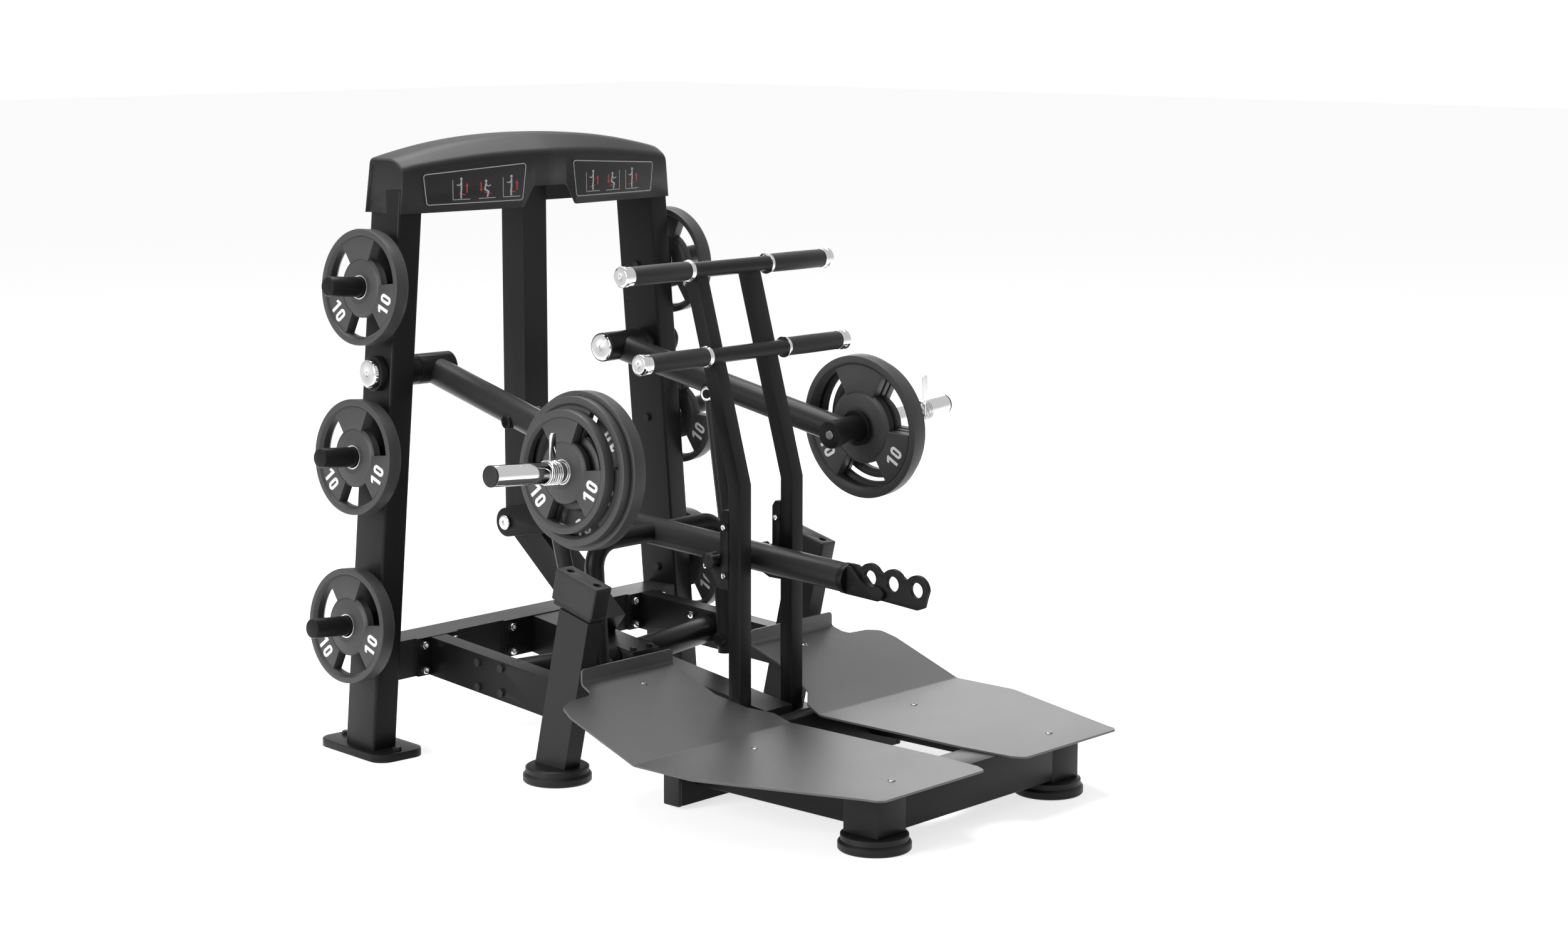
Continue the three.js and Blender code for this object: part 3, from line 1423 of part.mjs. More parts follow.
const handleLine = (z) => {
  const above = Math.max(0, z - handleBendZ);
  return handleFrontY + above * Math.tan(handleLean);
};
const handleUpright = (side) => {
  const x = side * handleX;
  const half = handleTube / 2;
  const topFront = [handleLine(handleTopZ), handleTopZ];
  const topRear = [
    topFront[0] + handleTube * Math.cos(handleLean),
    topFront[1] - handleTube * Math.sin(handleLean),
  ];
  const bendDrop = handleTube * Math.tan(handleLean / 2);
  const outline = [
    [handleFrontY, handlePivotZ], [handleFrontY + handleTube, handlePivotZ],
    [handleFrontY + handleTube, handleBendZ - bendDrop], topRear, topFront,
    [handleFrontY, handleBendZ],
  ];
  const tube = sidePrism(outline, x - half, x + half);
  const foot = rod(
    point(x - half, handlePivotY, handlePivotZ),
    point(x + half, handlePivotY, handlePivotZ),
    half,
  );
  return cut(joined(tube, foot), rod(
    point(x - handleTube, handlePivotY, handlePivotZ),
    point(x + handleTube, handlePivotY, handlePivotZ),
    boreRadius(handleAxleRadius, smallSides),
    smallSides,
  ));
};

const handleSolid = () => {
  const parts = [handleUpright(1), handleUpright(-1)];
  for (const z of handleBarZ) {
    const y = handleLine(z);
    const at = (x) => point(x, y, z);
    parts.push(rod(at(-handleBarHalf), at(handleBarHalf), handleBarRadius));
    for (const side of [-1, 1]) {
      const collarEnd = gripInnerX - touchGap;
      parts.push(rod(
        at(side * (collarEnd - gripCollarWidth)),
        at(side * collarEnd),
        gripCollarRadius,
      ));
      const capStart = gripInnerX + gripLength + touchGap;
      parts.push(rod(at(side * capStart), at(side * (capStart + gripCapWidth)), gripCapRadius));
    }
  }
  return joined(...parts);
};
addMesh(machine, 'handle_frame', handleSolid(), powderBlack);

const gripSolid = () => {
  const along = (distance) => point(distance, 0, 0);
  return cut(
    rod(along(gripInnerX), along(gripInnerX + gripLength), gripRadius),
    rod(
      along(gripInnerX - overrun),
      along(gripInnerX + gripLength + overrun),
      boreRadius(handleBarRadius),
    ),
  );
};
handleBarZ.forEach((z, index) => {
  const place = point(0, handleLine(z), z);
  for (const { side, frame } of sideFrames(place, point(1, 0, 0))) {
    addMesh(frame, `grip_${['upper', 'lower'][index]}_${side}`, gripSolid(), gripBlack);
  }
});

addMesh(machine, 'handle_axle', (() => {
  const at = (x) => point(x, handlePivotY, handlePivotZ);
  const reach = handleX + handleTube / 2 + runningGap;
  const shaftReach = reach + handleAxleHeadWidth / 2;
  return joined(
    rod(at(-shaftReach), at(shaftReach), handleAxleRadius, smallSides),
    rod(at(-reach - handleAxleHeadWidth), at(-reach), handleAxleHead, smallSides),
    rod(at(reach), at(reach + handleAxleHeadWidth), handleAxleHead, smallSides),
  );
})(), chrome);

// Both hooks carry their bolts on the left side
const hookSolid = (side) => {
  const baseY = handleFrontY + handleTube + touchGap;
  const baseZ = hookTopZ - hookHeight;
  const half = handleTube / 2;
  const place = ([alongShare, upShare]) => [
    baseY + hookReach * alongShare,
    baseZ + hookHeight * upShare,
  ];
  const floorZ = latchPin.z - latchPinRadius - runningGap;
  const wallY = latchPin.y - latchPinRadius - hookCornerGap;
  const notch = [
    [wallY, floorZ + latchPinRadius], [wallY, floorZ + 2 * hookCornerGap],
    [wallY + 2 * hookCornerGap, floorZ],
    [latchPin.y + latchPinRadius / 2, floorZ], [latchPin.y + latchPinRadius, floorZ + hookCornerGap],
  ];
  const back = hookBackShares.map(place);
  back[back.length - 1][0] = wallY;
  const outline = [...back, ...notch, ...hookLipShares.map(place)];
  const middleX = side * handleX;
  let solid = sidePrism(outline.reverse(), middleX - half, middleX + half);
  for (const shares of hookBoltShares) {
    const [y, z] = place(shares);
    solid = joined(solid, rod(
      point(middleX, y, z),
      point(middleX - half - hookBoltLength, y, z),
      hookBoltRadius,
      smallSides,
    ));
  }
  return solid;
};
addMesh(machine, 'latch_hook_r', hookSolid(1), powderBlack);
addMesh(machine, 'latch_hook_l', hookSolid(-1), powderBlack);

// The finished machine stands on z = 0 with its middle over the origin
machine.updateMatrixWorld(true);
const extent = new THREE.Box3().setFromObject(machine, true);
machine.position.y = -(extent.min.y + extent.max.y) / 2;
machine.position.x = -(extent.min.x + extent.max.x) / 2;
machine.position.z = -extent.min.z;
machine.updateMatrixWorld(true);

const model = new THREE.Group();
model.add(machine);

export default model;
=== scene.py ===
# Belt squat machine: the looks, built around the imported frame
import bmesh
import bpy
import math
from mathutils import Matrix, Vector
from mathutils.geometry import tessellate_polygon


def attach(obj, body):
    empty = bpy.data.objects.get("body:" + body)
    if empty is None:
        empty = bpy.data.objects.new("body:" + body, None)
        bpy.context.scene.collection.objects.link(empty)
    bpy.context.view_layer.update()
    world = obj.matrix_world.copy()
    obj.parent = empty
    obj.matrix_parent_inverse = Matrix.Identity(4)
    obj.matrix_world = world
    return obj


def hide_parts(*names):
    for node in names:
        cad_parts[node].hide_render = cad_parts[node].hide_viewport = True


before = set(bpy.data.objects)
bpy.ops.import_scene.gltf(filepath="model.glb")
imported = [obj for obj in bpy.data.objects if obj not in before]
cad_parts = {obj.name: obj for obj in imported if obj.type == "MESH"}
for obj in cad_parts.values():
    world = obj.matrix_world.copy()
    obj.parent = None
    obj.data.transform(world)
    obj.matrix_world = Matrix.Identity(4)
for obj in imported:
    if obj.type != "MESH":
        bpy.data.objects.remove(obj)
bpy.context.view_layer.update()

# Sizes are in millimetres. Y counts from the line just ahead of the front feet
unit = 0.001
middleY = 837.9306
turn = math.radians
tau = 2 * math.pi


def spot(point):
    return Vector((point[0], point[1] - middleY, point[2])) * unit


def aimed(place, way):
    return Matrix.Translation(place) @ way.to_track_quat("-Z", "Y").to_matrix().to_4x4()


def addObject(name, data):
    thing = bpy.data.objects.new(name, data)
    bpy.context.scene.collection.objects.link(thing)
    return thing


# Camera at the photograph's place
cameraSetup = {
    "place": (-5077.4, -3968.6, 1869.7), "look": (0.7304, 0.6641, -0.1595), "roll": turn(0.116),
    "lens": 66.94, "sensor": 36.0, "farthest": 200,
}


def makeCamera(setup):
    data = bpy.data.cameras.new("camera")
    camera = addObject("camera", data)
    data.sensor_width = setup["sensor"]
    data.lens = setup["lens"]
    data.clip_end = setup["farthest"]
    roll = Matrix.Rotation(setup["roll"], 4, "Z")
    camera.matrix_world = aimed(spot(setup["place"]), Vector(setup["look"])) @ roll
    bpy.context.scene.camera = camera


makeCamera(cameraSetup)


# Shader groups that several finishes share
def newGroup(name, inputs, outputs):
    group = bpy.data.node_groups.new(name, "ShaderNodeTree")
    for label, value in inputs.items():
        socket = group.interface.new_socket(label, in_out="INPUT", socket_type="NodeSocketFloat")
        socket.default_value = value
    for label in outputs:
        group.interface.new_socket(label, in_out="OUTPUT", socket_type="NodeSocketFloat")
    return group, group.nodes.new("NodeGroupInput").outputs, group.nodes.new("NodeGroupOutput").inputs


def addNode(tree, kind, sockets=None, **values):
    node = tree.nodes.new(kind)
    for key, value in values.items():
        setattr(node, key, value)
    for key, value in (sockets or {}).items():
        node.inputs[key].default_value = value
    return node


def join(tree, *pairs):
    for source, target in pairs:
        tree.links.new(source, target)


def makeGrain():
    group, inputs, outputs = newGroup("coatGrain", {"Grain": 900.0, "Cloud": 6.0},
                                      ("Height", "Cloud", "Speck"))
    place = addNode(group, "ShaderNodeTexCoord").outputs["Object"]
    fine = addNode(group, "ShaderNodeTexNoise", {"Detail": 2.0})
    wide = addNode(group, "ShaderNodeTexNoise", {"Detail": 4.0})
    ramp = addNode(group, "ShaderNodeMapRange", {"From Min": 0.55, "From Max": 0.75},
                   interpolation_type="SMOOTHSTEP")
    join(group,
         (place, fine.inputs["Vector"]), (inputs["Grain"], fine.inputs["Scale"]),
         (fine.outputs["Fac"], outputs["Height"]),
         (place, wide.inputs["Vector"]), (inputs["Cloud"], wide.inputs["Scale"]),
         (wide.outputs["Fac"], outputs["Cloud"]),
         (fine.outputs["Fac"], ramp.inputs["Value"]), (ramp.outputs["Result"], outputs["Speck"]))
    return group


# Painted highlight: sharp, pointy edges get a lighter colour, as if their bevels caught the light
def makeEdgeHighlight():
    group, inputs, outputs = newGroup("edgeHighlight", {"Low": 0.51, "High": 0.6}, ("Edge",))
    shape = addNode(group, "ShaderNodeNewGeometry")
    ramp = addNode(group, "ShaderNodeMapRange", interpolation_type="SMOOTHSTEP")
    join(group,
         (shape.outputs["Pointiness"], ramp.inputs["Value"]), (inputs["Low"], ramp.inputs["From Min"]),
         (inputs["High"], ramp.inputs["From Max"]), (ramp.outputs["Result"], outputs["Edge"]))
    return group


coatGrain = makeGrain()
edgeHighlight = makeEdgeHighlight()


def grey(level, blue=0.0):
    return level, level, level + blue


# Each finish: colour, its lighter tone and an edge colour (used for grain specks and for a painted highlight on
# sharp edges), roughness and its spread, grain size and depth
finishBase = {"spread": 0.05, "metal": 0.0, "speck": 0.1}
finishes = {
    "powderCoat": {
        "colour": (0.0075, 0.0077, 0.0082), "light": (0.0115, 0.0117, 0.0122), "edge": grey(0.03, 0.001),
        "shine": 0.11, "rough": 0.33, "spread": 0.06, "grain": 1100, "cloud": 5, "depth": 0.06, "speck": 0.12},
    "treadCoat": {
        "colour": grey(0.036, 0.001), "light": grey(0.046, 0.001), "edge": grey(0.1),
        "shine": 0.75, "rough": 0.42, "grain": 800, "cloud": 4, "depth": 0.22, "speck": 0.5},
    "hoodPlastic": {
        "colour": grey(0.012, 0.0005), "light": grey(0.016, 0.0005), "edge": grey(0.04, 0.001),
        "shine": 0.22, "rough": 0.45, "grain": 1500, "cloud": 4, "depth": 0.05},
    "plateUrethane": {
        "colour": grey(0.044, 0.001), "light": grey(0.054, 0.001), "edge": grey(0.06),
        "shine": 0.33, "rough": 0.44, "grain": 900, "cloud": 9, "depth": 0.05, "speck": 0.12},
    "blackRubber": {
        "colour": grey(0.010), "light": grey(0.015), "edge": grey(0.028),
        "shine": 0.25, "rough": 0.46, "spread": 0.06, "grain": 1200, "cloud": 14, "depth": 0.08},
    "gripRubber": {
        "colour": grey(0.022, 0.001), "light": grey(0.028, 0.001), "edge": grey(0.04),
        "shine": 0.25, "rough": 0.55, "grain": 1600, "cloud": 18, "depth": 0.12, "speck": 0.15},
    "placard": {
        "colour": grey(0.008, 0.001), "light": (0.016, 0.015, 0.015), "edge": grey(0.02),
        "shine": 0.3, "rough": 0.22, "spread": 0.04, "grain": 2500, "cloud": 10, "depth": 0.01, "speck": 0.05},
    "placardLine": {
        "colour": grey(0.50, 0.01), "light": grey(0.58, 0.01), "edge": grey(0.6),
        "shine": 0.4, "rough": 0.4, "spread": 0.04, "grain": 2500, "cloud": 30, "depth": 0.01, "speck": 0.05},
    "placardRed": {
        "colour": (0.55, 0.03, 0.03), "light": (0.65, 0.05, 0.04), "edge": (0.65, 0.06, 0.05),
        "shine": 0.4, "rough": 0.4, "spread": 0.04, "grain": 2500, "cloud": 30, "depth": 0.01, "speck": 0.05},
    "numeralWhite": {
        "colour": grey(0.80, -0.01), "light": grey(0.88, -0.01), "edge": grey(0.9),
        "shine": 0.4, "rough": 0.42, "grain": 1500, "cloud": 30, "depth": 0.04},
    "chrome": {
        "colour": grey(0.60, 0.01), "light": grey(0.68, 0.01), "edge": grey(0.88), "metal": 1.0,
        "shine": 0.5, "rough": 0.06, "spread": 0.03, "grain": 500, "cloud": 12, "depth": 0.004, "speck": 0.05},
    "darkSteel": {
        "colour": grey(0.16, 0.005), "light": grey(0.22, 0.005), "edge": grey(0.4), "metal": 1.0,
        "shine": 0.5, "rough": 0.3, "spread": 0.08, "grain": 1200, "cloud": 30, "depth": 0.03},
}


def newMaterial(name):
    material = bpy.data.materials.new(name)
    material.use_nodes = True
    return material, material.node_tree, material.node_tree.nodes["Principled BSDF"]


def makeFinish(name, look):
    material, tree, shader = newMaterial(name)
    shader.inputs["Metallic"].default_value = look["metal"]
    shader.inputs["Specular IOR Level"].default_value = look["shine"]
    colour, light, edge = ((*look[key], 1) for key in ("colour", "light", "edge"))
    rough, spread = look["rough"], look["spread"]
    grain = addNode(tree, "ShaderNodeGroup", node_tree=coatGrain)
    grain.inputs["Grain"].default_value = look["grain"]
    grain.inputs["Cloud"].default_value = look["cloud"]
    edgeShine = addNode(tree, "ShaderNodeGroup", node_tree=edgeHighlight)
    base = addNode(tree, "ShaderNodeMix", {"A": colour, "B": light}, data_type="RGBA")
    specks = addNode(tree, "ShaderNodeMath", {1: look["speck"]}, operation="MULTIPLY")
    flecked = addNode(tree, "ShaderNodeMix", {"B": edge}, data_type="RGBA")
    # Painted highlight: the edge colour is laid over sharp edges where bevels would catch the light
    edged = addNode(tree, "ShaderNodeMix", {"B": edge}, data_type="RGBA")
    uneven = addNode(tree, "ShaderNodeMapRange", {"To Min": rough - spread, "To Max": rough + spread})
    bump = addNode(tree, "ShaderNodeBump", {"Strength": look["depth"], "Distance": unit})
    join(tree,
         (grain.outputs["Cloud"], base.inputs["Factor"]), (grain.outputs["Speck"], specks.inputs[0]),
         (specks.outputs[0], flecked.inputs["Factor"]), (base.outputs["Result"], flecked.inputs["A"]),
         (edgeShine.outputs["Edge"], edged.inputs["Factor"]), (flecked.outputs["Result"], edged.inputs["A"]),
         (edged.outputs["Result"], shader.inputs["Base Color"]),
         (grain.outputs["Cloud"], uneven.inputs["Value"]),
         (uneven.outputs["Result"], shader.inputs["Roughness"]),
         (grain.outputs["Height"], bump.inputs["Height"]), (bump.outputs["Normal"], shader.inputs["Normal"]))
    return material


looks = {name: makeFinish(name, {**finishBase, **look}) for name, look in finishes.items()}
print("finishes:", len(looks))


# Mesh tools. A part is (points, faces) in millimetres
def rounded(corners, radius=0.0, steps=4, closed=True):
    # An outline with its corners rounded; a corner's third value is its own radius
    result = []
    count = len(corners)
    for index, corner in enumerate(corners):
        here = Vector(corner[:2])
        wanted = corner[2] if len(corner) > 2 else radius
        if wanted <= 0 or (not closed and index in (0, count - 1)):
            result.append(tuple(here))
            continue
        before = Vector(corners[index - 1][:2]) - here
        after = Vector(corners[(index + 1) % count][:2]) - here
        half = before.angle(after) / 2
        if half > turn(89):
            result.append(tuple(here))
            continue
        reach = min(wanted / math.tan(half), before.length * 0.49, after.length * 0.49)
        towards = (before.normalized() + after.normalized()).normalized()
        centre = here + towards * (reach / math.cos(half))
        first = here + before.normalized() * reach - centre
        last = here + after.normalized() * reach - centre
        start, size = math.atan2(first.y, first.x), first.length
        sweep = (math.atan2(last.y, last.x) - start + math.pi) % tau - math.pi
        for k in range(steps + 1):
            angle = start + sweep * k / steps
            result.append((centre.x + size * math.cos(angle), centre.y + size * math.sin(angle)))
    return result


def areaOf(loop):
    return sum(a[0] * b[1] - b[0] * a[1] for a, b in zip(loop, loop[1:] + loop[:1])) / 2


def insetLoop(loop, depth):
    result = []
    for i, corner in enumerate(loop):
        here = Vector(corner)
        before = (here - Vector(loop[i - 1])).normalized()
        after = (Vector(loop[(i + 1) % len(loop)]) - here).normalized()
        first, second = Vector((-before.y, before.x)), Vector((-after.y, after.x))
        shift = (first + second) / max(1 + first.dot(second), 0.4)
        result.append(tuple(here + shift * depth))
    return result


def alongX(u, v, w):
    return Vector((w, u, v))


def alongZ(u, v, w):
    return Vector((u, v, w))


def ringFaces(a, b):
    # The band of faces between two rings of points
    return [(a[i], a[(i + 1) % len(a)], b[(i + 1) % len(a)], b[i]) for i in range(len(a))]


def sheet(loops, low, high, place=alongX, lowEdge=1.0, highEdge=None, steps=3):
    # An outline with any holes, given a thickness and softened edges
    highEdge = lowEdge if highEdge is None else highEdge
    levels = []
    for level, edge, order in ((low, lowEdge, range(steps + 1)), (high, -highEdge, range(steps, -1, -1))):
        for k in order:
            angle = k / steps * math.pi / 2
            height, depth = level + edge * (1 - math.cos(angle)), abs(edge) * (1 - math.sin(angle))
            if not levels or abs(height - levels[-1][0]) + abs(depth - levels[-1][1]) > 1e-6:
                levels.append((height, depth))
    points, faces = [], []
    caps = {0: [], len(levels) - 1: []}
    for index, loop in enumerate(loops):
        loop = [tuple(p[:2]) for p in loop]
        clean = [p for i, p in enumerate(loop) if (Vector(p) - Vector(loop[i - 1])).length > 1e-4]
        if (areaOf(clean) > 0) != (index == 0):
            clean.reverse()
        rings = []
        for number, (height, depth) in enumerate(levels):
            ring = insetLoop(clean, depth) if depth > 0 else clean
            base = len(points)
            points += [place(u, v, height) for u, v in ring]
            rings.append(range(base, base + len(ring)))
            if number in caps:
                caps[number].append((ring, base))
        for a, b in zip(rings, rings[1:]):
            faces += ringFaces(a, b)
    for rings in caps.values():
        if len(rings) == 1:
            ring, base = rings[0]
            faces.append(tuple(range(base, base + len(ring))))
        else:
            flat = [[Vector((u, v, 0)) for u, v in ring] for ring, base in rings]
            numbers = [base + i for ring, base in rings for i in range(len(ring))]
            faces += [tuple(numbers[i] for i in triangle) for triangle in tessellate_polygon(flat)]
    return points, faces


def oval(u, v, radius, sides=32):
    angles = [tau * i / sides for i in range(sides)]
    return [(u + radius * math.cos(angle), v + radius * math.sin(angle)) for angle in angles]


def rectangle(width, height, radius, steps=4, u=0.0, v=0.0):
    x, y = width / 2, height / 2
    return rounded([(u - x, v - y), (u + x, v - y), (u + x, v + y), (u - x, v + y)], radius, steps)


def block(low, high, edge):
    corners = [(low[0], low[1]), (high[0], low[1]), (high[0], high[1]), (low[0], high[1])]
    return sheet([rounded(corners, edge, 3)], low[2], high[2], alongZ, edge)


def tube(start, end, width, height, corner):
    # A bar of rectangular section with soft corners
    forward = (end - start).normalized()
    side = forward.cross(Vector((0, 0, 1))).normalized()
    rise = side.cross(forward)
    return sheet([rectangle(width, height, corner)], 0, (end - start).length,
                 lambda u, v, w: start + side * u + rise * v + forward * w, 0.6)


def crossways(direction):
    across = direction.orthogonal().normalized()
    return across, direction.cross(across)


def turned(profile, start, direction, sides=56, closed=False):
    # Pairs of distance and radius along an axis, spun round it
    start, direction = Vector(start), Vector(direction).normalized()
    across, other = crossways(direction)
    points, faces, rings = [], [], []
    for distance, radius in profile:
        centre = start + direction * distance
        base = len(points)
        if radius < 1e-6:
            points.append(centre)
            rings.append([base] * sides)
            continue
        points += [centre + across * u + other * v for u, v in oval(0, 0, radius, sides)]
        rings.append(list(range(base, base + sides)))
    for a, b in list(zip(rings, rings[1:])) + ([(rings[-1], rings[0])] if closed else []):
        for face in ringFaces(a, b):
            face = tuple(dict.fromkeys(face))
            if len(face) > 2:
                faces.append(face)
    if not closed:
        faces += [tuple(ring) for ring in (rings[0], rings[-1]) if ring[0] != ring[1]]
    return points, faces


def spun(profile, start, direction, sides=56, edge=0.0):
    return turned(rounded(profile, edge, 3, closed=False), start, direction, sides)


def spunRing(profile, start, direction, sides=56, edge=0.0, steps=3):
    return turned(rounded(profile, edge, steps), start, direction, sides, closed=True)


def rod(start, end, radius, edge=1.5, sides=56):
    way = Vector(end) - Vector(start)
    return spun([(0, 0), (0, radius), (way.length, radius), (way.length, 0)], start, way, sides, edge)


def ringPart(start, direction, low, high, inner, outer, edge=1.0, sides=56):
    return spunRing([(low, inner), (low, outer), (high, outer), (high, inner)], start, direction, sides, edge)


def swept(path, radius, sides=20, side=None):
    # A round wire or tube through the points of a path
    path = [Vector(p) for p in path]
    points, faces, rings = [], [], []
    for i, here in enumerate(path):
        tangent = (path[min(i + 1, len(path) - 1)] - path[max(i - 1, 0)]).normalized()
        side = tangent.orthogonal() if side is None else side
        side = (side - tangent * side.dot(tangent)).normalized()
        other = tangent.cross(side)
        base = len(points)
        points += [here + side * u + other * v for u, v in oval(0, 0, radius, sides)]
        rings.append(range(base, base + sides))
    for a, b in zip(rings, rings[1:]):
        faces += ringFaces(a, b)
    return points, faces + [tuple(rings[0]), tuple(rings[-1])]


def bendPath(points, radius, steps):
    # Straight runs with round bends between them
    path = [points[0]]
    for before, here, after in zip(points, points[1:], points[2:]):
        incoming, outgoing = (before - here).normalized(), (after - here).normalized()
        half = incoming.angle(outgoing) / 2
        reach = radius / math.tan(half)
        centre = here + (incoming + outgoing).normalized() * (radius / math.sin(half))
        first = here + incoming * reach - centre
        axis = incoming.cross(outgoing).normalized()
        for k in range(steps + 1):
            path.append(centre + Matrix.Rotation(-(math.pi - 2 * half) * k / steps, 3, axis) @ first)
    return path + [points[-1]]


def moved(part, change):
    return [change(Vector(p)) for p in part[0]], part[1]


def coated(look, *parts):
    return [(part, look) for part in parts]


def assemble(name, body, parts, side=1, hides=(), sharp=28):
    # One piece from its parts, each with its look
    points, faces, used = [], [], []
    for (partPoints, partFaces), look in parts:
        base = len(points)
        points += [spot((side * p[0], p[1], p[2])) for p in partPoints]
        faces += [tuple(base + i for i in face) for face in partFaces]
        used += [look] * len(partFaces)
    mesh = bpy.data.meshes.new(name)
    mesh.from_pydata(points, [], faces)
    names = list(dict.fromkeys(used))
    for look in names:
        mesh.materials.append(looks[look])
    mesh.polygons.foreach_set("material_index", [names.index(look) for look in used])
    work = bmesh.new()
    work.from_mesh(mesh)
    bmesh.ops.recalc_face_normals(work, faces=work.faces)
    work.to_mesh(mesh)
    work.free()
    mesh.polygons.foreach_set("use_smooth", [True] * len(mesh.polygons))
    mesh.set_sharp_from_angle(angle=turn(sharp))
    piece = addObject(name, mesh)
    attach(piece, body)
    if hides:
        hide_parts(*hides)
    return piece


sides = {"r": 1, "l": -1}


def onBoth(name, body, parts, node=None):
    # The left piece is the right one mirrored; {} stands for the side's letter
    for key, side in sides.items():
        hides = [node.format(key)] if node else ()
        assemble(f"{name}{key.upper()}", body.format(key), parts, side, hides)


def soften(piece, name, width, segments, limit):
    bevel = piece.modifiers.new(name, "BEVEL")
    bevel.width = width * unit
    bevel.segments = segments
    bevel.limit_method = "ANGLE"
    bevel.angle_limit = turn(limit)


# Fasteners
fasteners = {
    "washer": 12.5, "washerThick": 3, "head": 9.5, "headTall": 10, "socket": 5.4, "socketDeep": 6,
    "hexWasher": 2, "hexSize": 11, "hexTall": 9, "chamfer": 1.2, "crown": 0.88, "letIn": 0.5,
}


def socketBolt(place, direction, scale=1.0):
    place, direction = Vector(place), Vector(direction).normalized()
    size = {key: value * scale for key, value in fasteners.items()}
    low, head, socket = size["washerThick"], size["head"], size["socket"]
    top = low + size["headTall"]
    floor = top - size["socketDeep"]
    profile = [(low, 0), (low, head), (top, head, fasteners["chamfer"]), (top, socket),
               (floor, socket), (floor, 0)]
    return (coated("powderCoat", rod(place, place + direction * low, size["washer"], 0.6, 32))
            + coated("chrome", spun(profile, place, direction, 32)))


def hexBolt(place, direction):
    place, direction = Vector(place), Vector(direction).normalized()
    washer = rod(place, place + direction * fasteners["hexWasher"], fasteners["washer"], 0.5, 32)
    size, top, chamfer = (fasteners[key] for key in ("hexSize", "hexTall", "chamfer"))
    profile = [(0, 0), (0, size), (top - chamfer, size), (top, size * fasteners["crown"]), (top, 0)]
    return coated("powderCoat", washer, turned(profile, place, direction, 6))


# Uprights with their bases and bosses
upright = {
    "width": 70, "depth": 120, "corner": 7, "footX": 540, "y": 1549.4, "top": 1395,
    "lean": turn(5), "yaw": turn(5), "boss": (61, 112, 38), "boltHeights": (1155, 741, 325),
    "base": {"place": (522, 1567), "width": 145, "length": 275, "corner": 40, "thick": 20,
             "bolts": (-110, 110)},
}
yawOut = Vector((math.cos(upright["yaw"]), math.sin(upright["yaw"]), 0))
yawBack = Vector((-yawOut.y, yawOut.x, 0))
armPivot = Vector((326.5, 1530, 949))
leanOut = Vector((math.cos(upright["lean"]), 0, math.sin(upright["lean"])))


def leanAt(z):
    return upright["footX"] - math.tan(upright["lean"]) * z


def onArm(distance):
    return armPivot + yawOut * distance


def onUpright(u, v, w):
    return Vector((leanAt(w), upright["y"], w)) + yawOut * u + yawBack * v


def onBase(u, v, w):
    return Vector((*upright["base"]["place"], w)) + yawOut * u + yawBack * v


def uprightParts(shape=upright):
    base, letIn = shape["base"], fasteners["letIn"]
    column = rectangle(shape["width"], shape["depth"], shape["corner"], 6)
    foot = rectangle(base["width"], base["length"], base["corner"], 8)
    low, high, radius = shape["boss"]
    parts = coated("powderCoat",
                   sheet([column], base["thick"] - 1, shape["top"], onUpright, 0.5),
                   sheet([foot], 0, base["thick"], onBase, 1, 3),
                   rod(onArm(low), onArm(high), radius))
    for z in shape["boltHeights"]:
        parts += hexBolt(onUpright(letIn - shape["width"] / 2, 0, z), -yawOut)
    for along in base["bolts"]:
        parts += hexBolt(onBase(0, along, base["thick"] - letIn), (0, 0, 1))
    return parts


onBoth("upright", "frame", uprightParts(), "upright_{}")

# Chrome caps of the loading arms' pivots
pivotCaps = {
    "radius": 34.5, "holes": (7, 6), "axle": 22, "gap": 0.3, "letIn": 1,
    "inner": {"tall": 8.5, "run": 1.5, "drop": 3.5, "edge": 2, "deep": 2.5, "ring": (0, 5, 30, 38, 1.2)},
    "outer": {"tall": 37, "run": 2, "drop": 4.5, "edge": 3, "deep": 3, "ring": (0, 22, 34, 43, 3)},
}
hubInner = {"r": -73.5, "l": -40}


def pivotCap(place, direction, cap, shape=pivotCaps):
    radius, (wide, narrow) = shape["radius"], shape["holes"]
    tall, floor = cap["tall"], cap["tall"] - cap["deep"]
    profile = [(0, 0), (0, radius), (tall - cap["run"], radius, cap["edge"]),
               (tall, radius - cap["drop"], cap["edge"]), (tall, wide), (floor, narrow), (floor, 0)]
    return spun(profile, place, direction, edge=0.5)


for key, side in sides.items():
    near, far = pivotCaps["inner"], pivotCaps["outer"]
    reach = (leanAt(armPivot.z) - armPivot.x) / yawOut.x + upright["width"] / 2
    inner, outer = onArm(hubInner[key] - pivotCaps["gap"]), onArm(reach)
    parts = (coated("chrome", pivotCap(inner, -yawOut, near))
             + coated("blackRubber", ringPart(inner, -yawOut, *near["ring"]))
             + coated("chrome", pivotCap(onArm(reach - pivotCaps["letIn"]), yawOut, far))
             + coated("powderCoat", ringPart(outer, yawOut, *far["ring"]))
             + coated("chrome", rod(inner, outer, pivotCaps["axle"], 1)))
    assemble(f"pivotCaps{key.upper()}", "frame", parts, side, [f"pivot_axle_{key}"])
print("uprights done")

# Straight beams keep their solids and get softened edges
softened = {
    "rear_crossbeam": 3, "rear_column": 4, "centre_beam": 3, "mid_leg_r": 4, "mid_leg_l": 4,
    "side_beam_r": 3, "side_beam_l": 3,
}
for node, width in softened.items():
    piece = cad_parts[node]
    soften(piece, "soft edges", width, 3, 40)
    piece.data.materials.clear()
    piece.data.materials.append(looks["powderCoat"])

# Bolts of the flanges and beams
flanges = {
    "faceY": 1481.7, "heights": (264, 201), "boltX": (320, 420, 125), "splay": turn(2.9),
    "plateBolts": {"seat": (413.5, 1249, 216), "along": 44.5, "up": 30.5, "sink": 8},
}
splayOut = Vector((math.cos(flanges["splay"]), math.sin(flanges["splay"]), 0))
splayBack = Vector((-splayOut.y, splayOut.x, 0))


